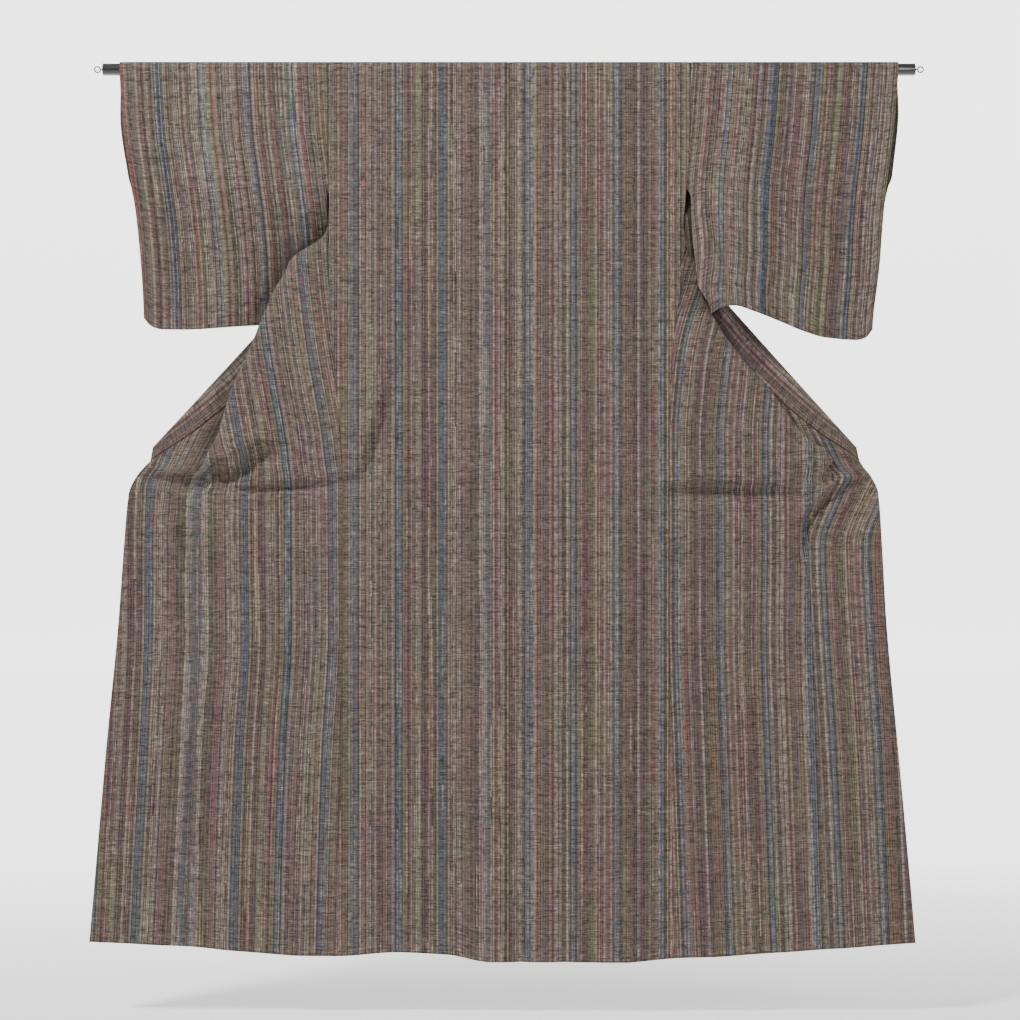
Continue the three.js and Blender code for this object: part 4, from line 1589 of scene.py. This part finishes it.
@dataclass(frozen=True)
class Lamp:
    """A soft square lamp, with its place and size in metres and its power in watts."""

    name: str
    place: tuple[float, float, float]
    size: float
    power: float

    def build(self, aim: tuple[float, float, float]) -> None:
        """Places the lamp and turns it to the garment.

        Args:
            aim: the point that it faces.
        """
        lamp = bpy.data.lights.new(self.name, "AREA")
        lamp.energy, lamp.size = self.power, self.size
        light = bpy.data.objects.new(self.name, lamp)
        light.location = self.place
        light.rotation_euler = (Vector(aim) - Vector(self.place)).to_track_quat("-Z", "Y").to_euler()
        bpy.context.scene.collection.objects.link(light)


@dataclass
class Studio:
    """A pale sweep, soft lights and the camera at the photograph's angle, in metres."""

    floor_z: float = -1.665
    floor_y: float = -14.0           # the floor's near edge
    half_width: float = 14.0
    wall_y: float = 15.0             # behind every place that the garment is looked at from
    wall_top: float = 9.0
    bend: float = 4.0
    camera_x: float = 0.0018
    distance: float = 4.5
    view_width: float = 1.795        # width of the picture at the garment
    aim: tuple[float, float, float] = (0.0, 0.0, -0.775)
    room_colour: str = "#f4f5f7"
    room_light: float = 0.45
    lamps: tuple[Lamp, ...] = (
        Lamp("key", (-2.4, -2.4, 2.3), 0.8, 225.0),
        Lamp("fill", (2.9, -3.0, 0.5), 2.2, 90.0),
    )

    def build(self) -> None:
        """Sets the whole stage."""
        self._sweep()
        for lamp in self.lamps:
            lamp.build(self.aim)
        world = bpy.data.worlds.new("soft_room")
        world.use_nodes = True
        room = world.node_tree.nodes["Background"].inputs
        room["Color"].default_value = linear(self.room_colour)
        room["Strength"].default_value = self.room_light
        bpy.context.scene.world = world
        camera = bpy.data.objects.new("camera", bpy.data.cameras.new("camera"))
        camera.location = (self.camera_x, -self.distance, self.aim[2])
        camera.rotation_euler = (math.pi / 2, 0.0, 0.0)
        camera.data.lens = camera.data.sensor_width * self.distance / self.view_width
        bpy.context.scene.collection.objects.link(camera)
        bpy.context.scene.camera = camera

    def _sweep(self) -> None:
        """A floor that bends up into a backdrop."""
        profile = [(self.floor_y, self.floor_z)]
        for turn in np.linspace(0, math.pi / 2, 16):
            y = self.wall_y - self.bend * (1 - math.sin(turn))
            profile.append((y, self.floor_z + self.bend * (1 - math.cos(turn))))
        profile.append((self.wall_y, self.wall_top))
        points = [(x, y, z) for x in (-self.half_width, self.half_width) for y, z in profile]
        count = len(profile)
        mesh = bpy.data.meshes.new("sweep")
        mesh.from_pydata(points, [], [(i, count + i, count + i + 1, i + 1) for i in range(count - 1)])
        for polygon in mesh.polygons:
            polygon.use_smooth = True
        placed(mesh, PaleSweep().make())


@dataclass
class Kimono:
    """The whole garment on its rod."""

    wardrobe: Wardrobe

    def build(self) -> None:
        """Makes every piece."""
        HangingRod(self.wardrobe).build()
        for side in Side:
            BodyHalf(side, self.wardrobe).build()
            NarrowPanel(side, self.wardrobe).build()
            SleeveBag(side, self.wardrobe).build()
        line = CollarLine()
        Collar(self.wardrobe, line).build()
        OverCollar(self.wardrobe, line).build()


def corners(box: tuple) -> list[list[float]]:
    """A box as plain lists."""
    return [[float(value) for value in corner] for corner in box]


def main() -> None:
    """Builds the scene."""
    logging.basicConfig(level=logging.INFO, format="%(message)s")
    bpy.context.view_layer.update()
    wardrobe = Wardrobe(
        face=SlubbedSilk("tsumugi_right_side").make(),
        # The wrong side's low shade is partly painted shade: it darkens the insides of the cuffs, the slit
        # and the sleeve bottoms, which lie in shadow
        wrong=SlubbedSilk("tsumugi_wrong_side", shade=0.55).make(),
        lacquer=DARK_LACQUER.make(),
        wire=DRAWN_WIRE.make(),
        thread=SEWING_SILK.make(),
    )
    Studio().build()
    Kimono(wardrobe).build()


if __name__ == "__main__":
    main()
